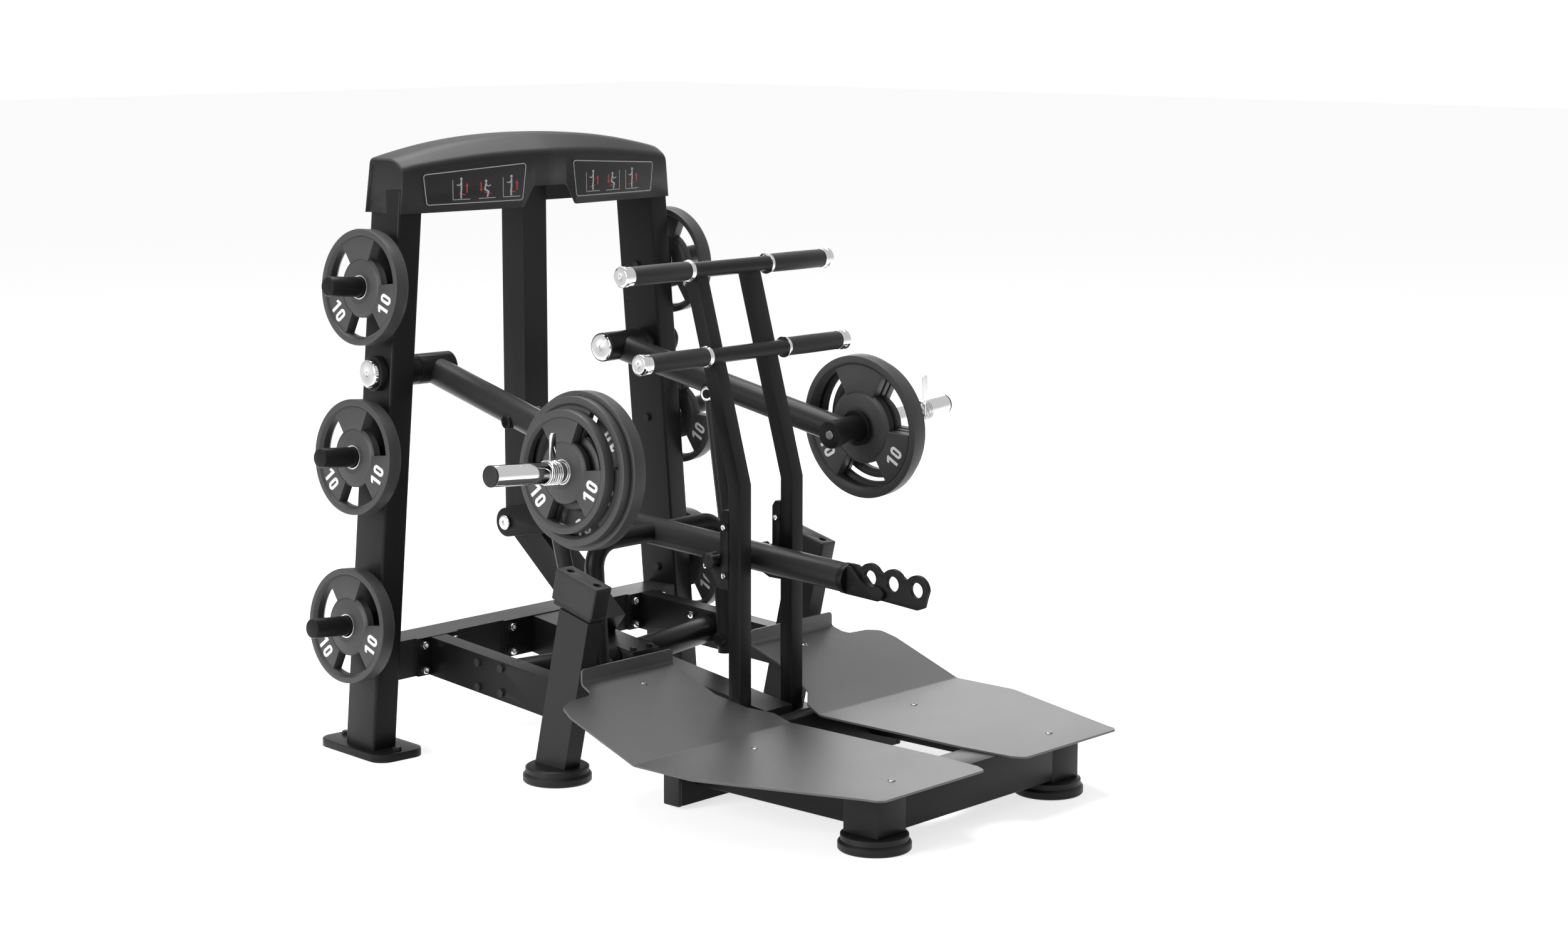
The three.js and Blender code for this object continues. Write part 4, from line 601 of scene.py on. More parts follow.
def boltSeats(seat, along, up):
    # Four places round a seat on the splayed side beam
    return [seat + splayBack * a * along + Vector((0, 0, b * up)) for a in (-1, 1) for b in (-1, 1)]


parts = []
for x in flanges["boltX"]:
    for z in flanges["heights"]:
        parts += socketBolt((x, flanges["faceY"], z), (0, -1, 0))
outerBolts = flanges["plateBolts"]
for seat in boltSeats(Vector(outerBolts["seat"]), outerBolts["along"], outerBolts["up"]):
    parts += hexBolt(seat - splayOut * outerBolts["sink"], splayOut)
onBoth("frameBolts", "frame", parts)

# Cross tubes with their plates and socket bolts
crossTube = {"radius": 35, "inner": (47.5, 1187, 216), "outer": (368, 1247, 216), "plate": (132, 92, 8),
             "boltsAlong": 50, "boltsUp": 31}


def crossTubeParts(shape=crossTube):
    start, end = Vector(shape["inner"]), Vector(shape["outer"])
    length, height, thick = shape["plate"]
    plate = sheet([rectangle(length, height, 5)], -thick, -0.3,
                  lambda u, v, w: end + splayBack * u + Vector((0, 0, v)) + splayOut * w, 1)
    parts = coated("powderCoat", rod(start, end, shape["radius"], 0.5, 64), plate)
    for seat in boltSeats(end, shape["boltsAlong"], shape["boltsUp"]):
        parts += socketBolt(seat - splayOut * thick, -splayOut)
    return parts


onBoth("crossTube", "frame", crossTubeParts(), "cross_tube_{}")

# Feet and stop blocks
foot = {
    "places": {"mid": (402, 1018), "front": (317, 86)},
    "profile": [(0, 0), (0, 80, 1), (3, 83, 1), (17, 83, 1), (22, 79, 1), (22, 77, 0.5), (35, 77, 1),
                (38, 72, 1.5), (38, 0)],
    "screw": {"offset": (-62, -14), "heights": (37.5, 39.6), "radius": 4},
}
for key, side in sides.items():
    screw = foot["screw"]
    for name, (x, y) in foot["places"].items():
        low, high = ((x + screw["offset"][0], y + screw["offset"][1], z) for z in screw["heights"])
        parts = (coated("blackRubber", spun(foot["profile"], (x, y, 0), (0, 0, 1), 72, 0.5))
                 + coated("darkSteel", rod(low, high, screw["radius"], 0.6, 20)))
        assemble(f"{name}Foot{key.upper()}", "frame", parts, side, [f"foot_{name}_{key}"])

stop = {"x": 399, "wide": 54, "top": (991, 525), "length": 142, "height": 76, "tilt": turn(14), "hole": 9,
        "spread": 92, "deep": 12, "inset": 7, "step": 12}


def onStop(u, v, w):
    c, s = math.cos(stop["tilt"]), math.sin(stop["tilt"])
    return Vector((stop["x"] + u, stop["top"][0] - c * v - s * w, stop["top"][1] - s * v + c * w))


def stopParts(shape=stop):
    half, wide, inset = shape["length"] / 2, shape["wide"], shape["inset"]
    low, under = -shape["deep"], -shape["height"]
    outline = rectangle(wide, shape["length"], 6, 5, 0, half)
    core = rectangle(wide - inset, shape["length"] - 2 * inset, 4, 4, 0, half)
    middles = [half + sign * shape["spread"] / 2 for sign in (-1, 1)]
    holes = [oval(0, v, shape["hole"]) for v in middles]
    parts = coated("blackRubber",
                   sheet([outline, *holes], low, 0, onStop, 0, 2.5),
                   sheet([outline], under, low, onStop, 3, 0),
                   sheet([core], under - shape["step"], under + 2, onStop, 2))
    screws = [rod(onStop(0, v, low - 1), onStop(0, v, low + 2), shape["hole"] + 1, 0.3, 32) for v in middles]
    return parts + coated("darkSteel", *screws)


onBoth("stopBlock", "frame", stopParts(), "stop_block_{}")
print("beams and feet done")

# Platform
platform = {
    "top": 146.7, "cross": 102, "leg": {"x": 317, "y": 86, "wide": 100, "low": 38.3},
    "long": {"wide": 50, "tall": 95.3, "lap": 5, "gap": 0.2},
    "rear": {"front": 612, "back": 662, "reach": 385, "low": 8},
    "cap": {"middle": 7.7, "half": 7.3, "proud": 0.5},
    "rail": {"x": 290, "wide": 50, "tall": 40, "start": 10, "end": 866, "drop": 22},
    "bendY": 577, "rise": turn(20.1),
}


def onRail(side, y, shape=platform):
    rise = (y - shape["bendY"]) * math.tan(shape["rise"])
    return Vector((side * shape["rail"]["x"], y, shape["top"] + rise - shape["rail"]["drop"]))


def platformParts(shape=platform):
    leg, beam, rear, cap, rail = (shape[key] for key in ("leg", "long", "rear", "cap", "rail"))
    x, y, half, top = leg["x"], leg["y"], leg["wide"] / 2, shape["top"]
    front, back, reach, low = rear["front"], rear["back"], rear["reach"], rear["low"]
    bars = [block((-x + half - 1, y - half, top - shape["cross"]), (x - half + 1, y + half, top), 2.5),
            block((-reach, front, low), (reach, back, top), 3)]
    ends = []
    for side in (-1, 1):
        bars.append(block((side * x - half, y - half, leg["low"]), (side * x + half, y + half, top), 2.5))
        bars.append(block((side * x - beam["wide"] / 2, y, top - beam["tall"]),
                          (side * x + beam["wide"] / 2, front + beam["lap"], top - beam["gap"]), 2.5))
        bars.append(tube(onRail(side, front + rail["start"]), onRail(side, rail["end"]),
                         rail["wide"], rail["tall"], 4))
        middle, proud = side * (reach + cap["middle"]), cap["proud"]
        ends.append(block((middle - cap["half"], front - proud, low - proud),
                          (middle + cap["half"], back + proud, top), 4))
    return coated("powderCoat", *bars) + coated("blackRubber", *ends)


assemble("platformFrame", "frame", platformParts(), 1, ["platform_frame"])

# Foot plates: one bent sheet on each side
footPlate = {
    "thick": 5, "frontY": -32, "innerX": 50, "width": 530, "length": 921, "under": 147, "bendY": 577,
    "rise": turn(20.1), "bendRadius": 26, "lipRadius": 9, "lipTop": 300, "lipSetback": 4, "lipCorner": 10,
    "screwX": 287, "screwY": (63, 476, 836),
    "screw": [(-1, 0), (-1, 9), (0.6, 9, 0.5), (2.6, 6, 2), (2.8, 3.4), (0.8, 3.2), (0.8, 0)],
    "outlineShares": [
        (0.735, 0.04, 9), (0.724, 0.014, 8), (0.698, 0, 12), (0.05, 0, 16), (0.018, 0.035, 18), (0, 0.1716, 30),
        (0, 0.643, 30), (0.02, 0.713, 18), (0.113, 0.76, 24), (0.177, 0.839, 14), (0.17, 1, 0), (0.745, 1, 0),
        (0.755, 0.965, 8), (0.781, 0.951, 8), (0.9, 0.947, 22), (0.975, 0.93, 22), (1, 0.886, 26),
        (1, 0.4636, 40),
    ],
    "cutSteps": 2.5, "lipCuts": 26, "flatCuts": [200, 350, 700, 800],
}


def sheetPath(s, shape=footPlate):
    # Depth, height and slope of the bent sheet at a distance along it
    rise, radius, lip = shape["rise"], shape["bendRadius"], shape["lipRadius"]
    z = shape["under"] + shape["thick"]
    lead, arc = shape["bendY"] - radius * math.tan(rise / 2), radius * rise
    if s <= lead:
        return s, z, 0.0
    if s <= lead + arc:
        angle = (s - lead) / radius
        return lead + radius * math.sin(angle), z + radius * (1 - math.cos(angle)), angle
    after = s - lead - arc
    # Past the bend the sheet rises straight, then the lip turns it upright
    y, z = lead + radius * math.sin(rise), z + radius * (1 - math.cos(rise))
    rearY = shape["frontY"] + shape["length"] - shape["thick"]
    turnLeft = math.pi / 2 - rise
    straight = (rearY - y) / math.cos(rise) - lip * math.tan(turnLeft / 2)
    if after <= straight:
        return y + after * math.cos(rise), z + after * math.sin(rise), rise
    y, z = y + straight * math.cos(rise), z + straight * math.sin(rise)
    beyond = after - straight
    if beyond <= lip * turnLeft:
        angle = rise + beyond / lip
        y, z = y + lip * (math.sin(angle) - math.sin(rise)), z + lip * (math.cos(rise) - math.cos(angle))
        return y, z, angle
    return y + lip * (1 - math.sin(rise)), z + lip * math.cos(rise) + beyond - lip * turnLeft, math.pi / 2


def footPlateSheet(shape=footPlate):
    front, bendY, length = shape["frontY"], shape["bendY"], shape["length"]
    rear = front + length
    stretch = ((rear - bendY) / math.cos(shape["rise"]) - shape["lipSetback"]) / (rear - bendY)
    s = rear
    while sheetPath(s)[1] < shape["lipTop"]:
        s += 0.5
    corners = []
    for across, along, radius in shape["outlineShares"]:
        y = front + length * along
        y = bendY + (y - bendY) * stretch if y > bendY else y
        corners.append((shape["innerX"] + shape["width"] * across, y, radius))
    # The lip stands up beyond the sheet's rear edge
    lip = next(i for i, share in enumerate(shape["outlineShares"]) if share[1] == 1)
    corners[lip + 1:lip + 1] = [(corners[i][0], s, shape["lipCorner"]) for i in (lip, lip + 1)]
    work = bmesh.new()
    work.faces.new([work.verts.new((u, v, 0)) for u, v in rounded(corners, 0, 6)])
    # Cuts across the flat sheet let it bend at the rise and at the lip
    step = shape["cutSteps"]
    cuts = [bendY + step * k for k in range(-2, 3)]
    cuts += [s - shape["lipCuts"] - step * k for k in range(7)]
    for level in cuts + shape["flatCuts"]:
        bmesh.ops.bisect_plane(work, geom=work.verts[:] + work.edges[:] + work.faces[:], dist=1e-5,
                               plane_co=(0, level, 0), plane_no=(0, 1, 0))
    points, faces = [], []
    count = len(work.verts)
    for depth in (0, shape["thick"]):
        for vert in work.verts:
            y, z, angle = sheetPath(vert.co.y)
            points.append((vert.co.x, y + depth * math.sin(angle), z - depth * math.cos(angle)))
    work.verts.index_update()
    for face in work.faces:
        numbers = [v.index for v in face.verts]
        faces += [tuple(numbers), tuple(n + count for n in reversed(numbers))]
    for edge in work.edges:
        if len(edge.link_faces) == 1:
            a, b = (v.index for v in edge.verts)
            faces.append((a, b, b + count, a + count))
    work.free()
    return points, faces


def footPlateParts(shape=footPlate):
    screws = []
    for y in shape["screwY"]:
        tilt = shape["rise"] if y > shape["bendY"] else 0
        z = shape["under"] + shape["thick"] + max(0, y - shape["bendY"]) * math.tan(shape["rise"])
        normal = Vector((0, -math.sin(tilt), math.cos(tilt)))
        screws.append(spun(shape["screw"], (shape["screwX"], y, z), normal, 32))
    return coated("treadCoat", footPlateSheet()) + coated("darkSteel", *screws)


for key, side in sides.items():
    piece = assemble(f"footPlate{key.upper()}", "frame", footPlateParts(), side,
                     [f"foot_plate_{key}"], 35)
    soften(piece, "sheared edge", 0.7, 2, 60)
print("platform done")

# Hood
hood = {
    "low": 1338.6, "halfLow": 467.5, "halfHigh": 455, "frontY": 1443.7, "frontSlope": 0.0895, "rearLow": 1620,
    "rearHigh": 1613, "ridge": (1522, 1582), "frontTop": 1479, "crown": 1521, "rearDrop": 1.5, "wall": 3,
    "notch": [(-600, 0), (-89, 0, 9), (-58, 52.4, 12), (58, 52.4, 12), (89, 0, 9), (600, 0)],
    "frontRadius": 24, "ridgeRadii": (60, 40), "rearRadius": 9, "endRadius": 9, "endSteps": 6,
    "notchReach": 120, "stations": 15.0, "plain": (100, 440), "middle": 45,
    "frontInset": 0.6, "frontLeast": 2,
    "shares": [0, 0.16, 0.33, 0.5, 0.66, 0.78, 0.88, 0.96, 1],
    "frontDrops": [0, 0.005, 0.02, 0.045, 0.08, 0.11, 0.135, 0.165, 0.19],
    "crownDrops": [0, 0.006, 0.025, 0.061, 0.112, 0.162, 0.21, 0.252, 0.278],
}


def smoothTable(xs, ys, x):
    # A smooth curve through a table of places, level at its start
    i = next((i for i in range(len(xs) - 1) if x <= xs[i + 1]), len(xs) - 2)
    slopes = []
    for k in (i, i + 1):
        before, after = max(k - 1, 0), min(k + 1, len(xs) - 1)
        slopes.append((ys[after] - ys[before]) / (xs[after] - xs[before]) if k else 0.0)
    width = xs[i + 1] - xs[i]
    t = (x - xs[i]) / width
    return ((2 * t ** 3 - 3 * t ** 2 + 1) * ys[i] + (t ** 3 - 2 * t ** 2 + t) * width * slopes[0]
            + (3 * t ** 2 - 2 * t ** 3) * ys[i + 1] + (t ** 3 - t ** 2) * width * slopes[1])


def valueOn(line, x):
    for a, b in zip(line, line[1:]):
        if a[0] <= x <= b[0]:
            return a[1] + (b[1] - a[1]) * (x - a[0]) / max(b[0] - a[0], 1e-9)
    return 0.0


def hoodSection(share, inset, notchLine, shape=hood):
    low, crown = shape["low"], shape["crown"]
    size, sign = min(abs(share), 1), -1 if share < 0 else 1
    lowX, highX = (shape["halfLow"] - inset) * size, (shape["halfHigh"] - inset) * size
    frontDrop, crownDrop = ((crown - low) * smoothTable(shape["shares"], shape[key], size)
                            for key in ("frontDrops", "crownDrops"))
    frontY = shape["frontY"] + shape["frontSlope"] * lowX + inset
    top = crown - crownDrop - inset
    frontZ = min(shape["frontTop"] - frontDrop - inset * shape["frontInset"], top - shape["frontLeast"])
    corners = [
        (frontY, low + valueOn(notchLine, sign * lowX)), (frontY, frontZ, shape["frontRadius"]),
        *((y, top, radius) for y, radius in zip(shape["ridge"], shape["ridgeRadii"])),
        (shape["rearHigh"] - inset, top - shape["rearDrop"], shape["rearRadius"]),
        (shape["rearLow"] - inset, low),
    ]
    result = []
    for y, z in rounded(corners, 0, 7, closed=False):
        t = min(max((z - low) / (top - low), 0), 1)
        result.append(Vector((sign * (lowX + (highX - lowX) * t), y, z)))
    return result


def hoodParts(shape=hood):
    notchLine = rounded(shape["notch"], 0, 6, closed=False)
    half, radius, steps = shape["halfLow"], shape["endRadius"], shape["endSteps"]
    (near, far), middle = shape["plain"], shape["middle"]
    regular = [i * shape["stations"] for i in range(-29, 30)]
    stations = sorted({round(x, 2) for x, z in notchLine if abs(x) < shape["notchReach"]}
                      | {x for x in regular if abs(x) <= middle or near <= abs(x) < far})
    ends = []
    for k in range(steps + 1):
        angle = k / steps * math.pi / 2
        inset = radius * (1 - math.cos(angle))
        ends.append(((half - (1 - math.sin(angle)) * radius) / max(half - inset, 1), inset))
    places = ([(-share, inset) for share, inset in reversed(ends)] + [(x / half, 0) for x in stations] + ends)
    sections = [hoodSection(share, inset, notchLine) for share, inset in places]
    count = len(sections[0])
    points = [p for section in sections for p in section]
    faces = []
    for start in range(0, len(points) - count, count):
        faces += [(a, a + 1, a + 1 + count, a + count) for a in range(start, start + count - 1)]
    return points, faces + [tuple(range(count)), tuple(range(len(points) - count, len(points)))]


hoodPiece = assemble("hood", "frame", coated("hoodPlastic", hoodParts()), 1, ["hood"], 40)
shell = hoodPiece.modifiers.new("wall", "SOLIDIFY")
shell.thickness = hood["wall"] * unit
shell.offset = -1

# Placards on the hood's front, with a plain border and simple exercise signs
placard = {
    "corners": [(400.7, 1436), (76, 1454), (89.6, 1353.5), (390.5, 1353)], "radius": 12, "proud": 0.8,
    "border": 2.2, "inset": 3.5, "rightShift": 30, "scale": 0.72, "line": 1.6, "floor": (1374, 76, -0.004),
    "signs": (("stand", 128, 1), ("squat", 205, -1), ("stand", 282, 1)),
}
figures = {
    "stand": {"head": (0, 62, 5), "body": [(0, 54), (0, 30), (-2, 14), (-2, -2)],
              "arm": [(0, 50), (-9, 40), (-18, 42)]},
    "squat": {"head": (2, 50, 5), "body": [(2, 42), (8, 22), (-8, 14), (-3, -2)],
              "arm": [(2, 38), (-8, 32), (-17, 36)]},
}


def onFront(u, v, w):
    slope = hood["frontSlope"]
    normal = Vector((slope * (1 if u > 0 else -1), -1, 0)).normalized()
    return Vector((u, hood["frontY"] + slope * abs(u), v)) + normal * w


def stroke(points, width):
    # A flat line with round joints, as outlines of its runs and dots
    result = []
    for a, b in zip(points, points[1:]):
        a, b = Vector(a), Vector(b)
        across = Vector((-(b - a).y, (b - a).x)).normalized() * width / 2
        result.append([tuple(a - across), tuple(b - across), tuple(b + across), tuple(a + across)])
    return result + [oval(p[0], p[1], width / 2, 14) for p in points]


def figureOutlines(kind, x, z, mirror):
    shape, scale = figures[kind], placard["scale"]

    def place(p):
        return x + mirror * p[0] * scale, z + p[1] * scale

    body, arm = ([place(p) for p in shape[key]] for key in ("body", "arm"))
    head = oval(*place(shape["head"]), shape["head"][2] * scale, 18)
    return [head, *stroke(body, 6.5 * scale), *stroke(arm, 3.4 * scale)]


def arrowOutline(x, z, tall, wide, sign):
    low, high = z - sign * tall / 2, z + sign * tall / 2
    neck, stem, head = high - sign * wide, wide * 0.25, wide * 0.6
    return [(x - stem, low), (x + stem, low), (x + stem, neck), (x + head, neck), (x, high), (x - head, neck),
            (x - stem, neck)]


def placardParts(side, shape=placard):
    outline = rounded(shape["corners"], shape["radius"], 6)
    if areaOf(outline) < 0:
        outline.reverse()
    proud, line = shape["proud"], shape["line"]
    border = [insetLoop(outline, depth) for depth in (shape["inset"], shape["inset"] + shape["border"])]
    parts = (coated("placard", sheet([outline], -0.5, proud, onFront, 0, 0.3))
             + coated("placardLine", sheet(border, proud - 0.1, proud + 0.25, onFront, 0, 0.05)))
    greys, reds = [], []
    level, start, slope = shape["floor"]
    for kind, x, sign in shape["signs"]:
        x += shape["rightShift"] if side > 0 else 0
        z, way = level + (x - start) * slope, sign * side
        greys += figureOutlines(kind, x, z, way) + stroke([(x + 24, z - 6), (x - 26, z - 6)], line)
        if kind == "stand" or side > 0:
            greys += stroke([(x - 26 * way, z - 6), (x - 26 * way, z + 42)], line)
        reds.append(arrowOutline(x + 17 * way, z + 22, 24, 8, 1 if kind == "stand" else -1))
        reds += stroke([(x - 12, z + 5), (x + 6, z + 9)], 2.2)
    for loops, look in ((greys, "placardLine"), (reds, "placardRed")):
        parts += coated(look, *[sheet([loop], proud - 0.1, proud + 0.2 + 0.001 * i, onFront, 0, 0)
                                for i, loop in enumerate(loops)])
    return parts


for key, side in sides.items():
    assemble(f"placard{key.upper()}", "frame", placardParts(side), side)
print("hood done")


# Plates: rim, three spokes, domed hub, chrome bush and painted numerals
plates = {
    "large": {"radius": 184, "thick": 36, "rim": 26, "band": 17, "hub": 95},
    "medium": {"radius": 172, "thick": 22.4, "rim": 24, "band": 16, "hub": 89},
    "small": {"radius": 142, "thick": 30, "rim": 21, "band": 14, "hub": 74},
    "stored": {"radius": 142, "thick": 38, "rim": 21, "band": 14, "hub": 74},
}
plateLook = {
    "bore": 25.9, "bush": 29.5, "recess": 0.12, "slope": 0.26, "numeral": 38, "bare": 90,
    "spokes": (90, 210, 330), "spokeHalf": turn(29), "spokeSteps": 14,
    "dome": {"bush": (1.0, 6, 3), "swell": (0.6, 0.55, 12), "foot": (0.88, 14), "edge": 3},
}


def digitOutlines(tall):
    wide, pen = tall * 0.56, tall * 0.2
    left, half = tall * 0.36, tall / 2
    zero = [rectangle(wide, tall, wide * 0.48, 8, left, 0),
            rectangle(wide - 2 * pen, tall - 2 * pen, (wide - 2 * pen) * 0.48, 6, left, 0)]
    steps = [(-0.25, -half), (0.85, -half), (0.85, half), (0.05, half), (-1.35, half - pen * 0.75),
             (-1.35, half - pen * 1.75), (-0.25, half - pen * 1.25)]
    return [[(pen * u - left, v) for u, v in steps]], zero


def plateParts(size, look=plateLook):
    big, thick, hub = size["radius"], size["thick"], size["hub"]
    inner, band = big - size["rim"], big - size["band"]
    deep, rest = look["slope"] * thick, look["recess"] * thick
    origin, axis = (0, 0, 0), (1, 0, 0)
    rim = [(0, band, 1.2), (0, big, 2.5), (thick, big, 2.5), (thick, band, 1.2), (thick - deep, inner, 2),
           (deep, inner, 2)]
    (low, bushWide, bushEdge), (swell, swellShare, swellEdge) = look["dome"]["bush"], look["dome"]["swell"]
    footShare, footEdge = look["dome"]["foot"]
    dome = [(low, look["bush"] - 1), (low, look["bush"] + bushWide, bushEdge),
            (swell, hub * swellShare, swellEdge), (rest, hub * footShare, footEdge),
            (deep, hub, look["dome"]["edge"])]
    dome += [(thick - corner[0], *corner[1:]) for corner in reversed(dome)]
    parts = (coated("plateUrethane", spunRing(rim, origin, axis, 128), spunRing(dome, origin, axis, 96, 0, 5))
             + coated("chrome", ringPart(origin, axis, 0.1, thick - 0.1, look["bore"], look["bush"], 0.8, 64)))
    outer, root, steps = inner + 3, hub - 6, look["spokeSteps"]
    reach = (inner + hub) / 2 + 2
    digits = digitOutlines(min(look["numeral"], (inner - hub) * 0.8))
    for middle in look["spokes"]:
        centre, half = turn(middle), look["spokeHalf"]
        arc = [centre - half + 2 * half * k / steps for k in range(steps + 1)]
        loop = [(outer * math.cos(a), outer * math.sin(a)) for a in arc]
        loop += [(root * math.cos(a), root * math.sin(a)) for a in reversed(arc)]
        parts += coated("plateUrethane", sheet([loop], rest, thick - rest, alongX, 2))
        if middle == look["bare"]:
            continue
        out = Vector((0, math.cos(centre), math.sin(centre)))
        for face in (1, -1):
            # Digits stand with their tops toward the bore on both faces
            along = Vector((0, -out.z, out.y)) * face

            def onPanel(u, v, w):
                depth = thick - rest + w if face > 0 else rest - w
                return Vector((depth, 0, 0)) + out * (reach - v) + along * u
            parts += coated("numeralWhite", *[sheet(loops, -0.2, 0.35, onPanel, 0, 0.1, 1) for loops in digits])
    return parts


def placePlate(level, size, start, axis, key, spin, body):
    # The plate's own X runs outward along the axis; its numerals read from outside and inside
    side = sides[key]
    outward = Vector((side * axis.x, axis.y, axis.z))
    up = Matrix.Rotation(spin, 3, outward) @ (Vector((0, 0, 1)) - outward * outward.z).normalized()
    across = up.cross(outward)
    base = Vector((side * start.x, start.y, start.z))
    parts = [(moved(part, lambda p: base + outward * p.x + across * p.y + up * p.z), look)
             for part, look in plateParts(size)]
    assemble(f"{level}Plate{key.upper()}", f"{body}_{level}_{key}", parts, 1,
             [f"plate_{level}_{key}"])


sleeve = {"tilt": turn(4.19), "radius": 25, "start": 55.3, "length": 349, "cap": 5}
elbow = Vector((394, 805, 782.4))
sleeveAxis = Vector((math.cos(sleeve["tilt"]), 0, math.sin(sleeve["tilt"])))
stack = {"start": {"r": 59.3, "l": 97}, "gap": 0.3}
spins = {"r": {"large": turn(1), "medium": turn(1), "small": turn(1), "stored": 0.0},
         "l": {"large": turn(69), "medium": turn(9), "small": turn(9), "stored": turn(9)}}
# Height of each horn and the plate's place along it
stored = {"top": (1155, 70), "middle": (741, 67), "bottom": (325, 61)}
horn = {"radius": 24.25, "start": 35.3, "reach": 206, "tip": 5.5}
for key, side in sides.items():
    reach = stack["start"][key]
    for level in ("large", "medium", "small"):
        placePlate(level, plates[level], elbow + sleeveAxis * reach, sleeveAxis, key, spins[key][level],
                   "plate")
        reach += plates[level]["thick"] + stack["gap"]
    for level, (z, stand) in stored.items():
        root = Vector((leanAt(z), upright["y"], z))
        hang = Vector((leanOut.z, 0, -leanOut.x)) * (sleeve["radius"] - horn["radius"])
        placePlate(level, plates["stored"], root + leanOut * stand + hang, leanOut, key, spins[key]["stored"],
                   "stored_plate")
        start, end = (root + leanOut * horn[place] for place in ("start", "reach"))
        parts = coated("powderCoat", rod(start, end, horn["radius"], horn["tip"], 64))
        assemble(f"{level}Horn{key.upper()}", "frame", parts, side, [f"horn_{level}_{key}"])
print("plates done")

# Sleeves and their spring collars
start, end = elbow + sleeveAxis * sleeve["start"], elbow + sleeveAxis * (sleeve["start"] + sleeve["length"])
capStart = end - sleeveAxis * sleeve["cap"]
parts = (coated("chrome", rod(start, capStart, sleeve["radius"], 0.4, 72))
         + coated("blackRubber", rod(capStart, end, sleeve["radius"], 1.5, 72)))
onBoth("sleeve", "loading_arm_{}", parts, "sleeve_{}")

collar = {
    "wire": 1.7, "pitch": 6.6, "turns": 5.3, "start": {"r": 291.8, "l": 204}, "coil": 27.2, "steps": 48,
    "leads": (5, 10, 18, 26, 34), "splays": (-0.04, 0.15), "leftTurn": turn(72.5), "tabThick": 2.6,
    "tab": [(-2, -2.5, 1.5), (4, -9.5, 3), (64, -9.5, 7), (64, 9.5, 7), (4, 9.5, 3), (-2, 2.5, 1.5)],
}


def collarParts(shape=collar):
    # Along its own X, as the left one lies; the levers leave the coil at its two ends
    radius, thick = shape["coil"], shape["tabThick"]
    coil = []
    for i in range(round(shape["turns"] * shape["steps"]) + 1):
        share = i / shape["steps"]
        angle = math.pi + tau * share
        coil.append(Vector((shape["pitch"] * share, radius * math.cos(angle), radius * math.sin(angle))))
    leads, tabs = [], []
    for end, inner, splay in zip((coil[0], coil[-1]), (coil[1], coil[-2]), shape["splays"]):
        way = (end - inner).normalized()
        way.x = 0
        leads.append([end + way * d + Vector((d * splay, 0, 0)) for d in shape["leads"]])
        tip, direction = leads[-1][-1], (way + Vector((splay, 0, 0))).normalized()
        across = (Vector((1, 0, 0)) - direction * direction.x).normalized()
        normal = direction.cross(across)
        tabs.append(sheet([rounded(shape["tab"], 0, 5)], -thick / 2, thick / 2,
                          lambda u, v, w: tip + direction * u + across * v + normal * w, 0.9))
    return [swept(leads[0][::-1] + coil + leads[1], shape["wire"], 12, Vector((1, 0, 0))), *tabs]


for key, side in sides.items():
    outward = Vector((side * sleeveAxis.x, 0, sleeveAxis.z))
    base = Vector((side * elbow.x, elbow.y, elbow.z)) + outward * collar["start"][key]
    heading, roll = (0, 0) if side > 0 else (math.pi, collar["leftTurn"])
    facing = Vector((side, 0, 0)).rotation_difference(outward).to_matrix() @ Matrix.Rotation(heading, 3, "Z")
    rolled = Matrix.Rotation(roll, 3, "X")
    parts = coated("chrome", *[moved(part, lambda p: base + facing @ (rolled @ p)) for part in collarParts()])
    assemble(f"springCollar{key.upper()}", f"spring_collar_{key}", parts, 1, [f"spring_collar_{key}"])

# Loading arms
loadingArm = {
    "hub": (22.3, 60.5, 38), "root": (338.7, 1400, 915.1), "tube": 35, "short": 8, "front": (-53, 55, 35),
    "flange": (24.8, 46, 9), "linkTop": (308, 1182, 853),
    "pins": ((-22, 92, 12, 1, 40), (11, 92, 17, 1.5, 48)), "capAt": -10.5, "cap": (20, 9, 6, 5, 3),
    "plug": [(-1.2, 0), (-1.2, 5), (-1.2, 11, 0.6), (1, 12), (1, 0)],
}


def axleCap(place, direction, size, sides=40):
    # A turned cap with a soft shoulder and a shallow centre hole
    radius, tall, hole, inner, deep = size
    profile = [(0, 0), (0, radius, 1), (tall - 1, radius, 2), (tall, radius - 4, 1), (tall, hole),
               (tall - deep, inner), (tall - deep, 0)]
    return spun(profile, place, direction, sides)


def loadingArmParts(key, shape=loadingArm):
    bore, high, radius = shape["hub"]
    back = (Vector(shape["root"]) - elbow).normalized()
    reach = (armPivot.y - elbow.y) / back.y - shape["short"]
    first, last, frontRadius = shape["front"]
    flangeBore, flangeRadius, flangeWide = shape["flange"]
    top = Vector(shape["linkTop"])
    pins = [rod(top + yawOut * inner, top + yawOut * outer, *pin) for inner, outer, *pin in shape["pins"]]
    return (coated("powderCoat",
                   ringPart(onArm(0), yawOut, hubInner[key], high, bore, radius, 1.5, 64),
                   swept([elbow, elbow + back * reach], shape["tube"], 64),
                   spun([(first, 0), (first, frontRadius, 1.5), (last, frontRadius, 1), (last, 0)], elbow,
                        sleeveAxis, 64))
            + coated("darkSteel", spun(shape["plug"], elbow + sleeveAxis * first, sleeveAxis, 32))
            + coated("powderCoat",
                     ringPart(elbow, sleeveAxis, last - flangeWide, last, flangeBore, flangeRadius, 1.5, 64),
                     *pins)
            + coated("chrome", axleCap(top + yawOut * shape["capAt"], -yawOut, shape["cap"])))


for key, side in sides.items():
    assemble(f"loadingArm{key.upper()}", f"loading_arm_{key}", loadingArmParts(key), side,
             [f"loading_arm_{key}"])

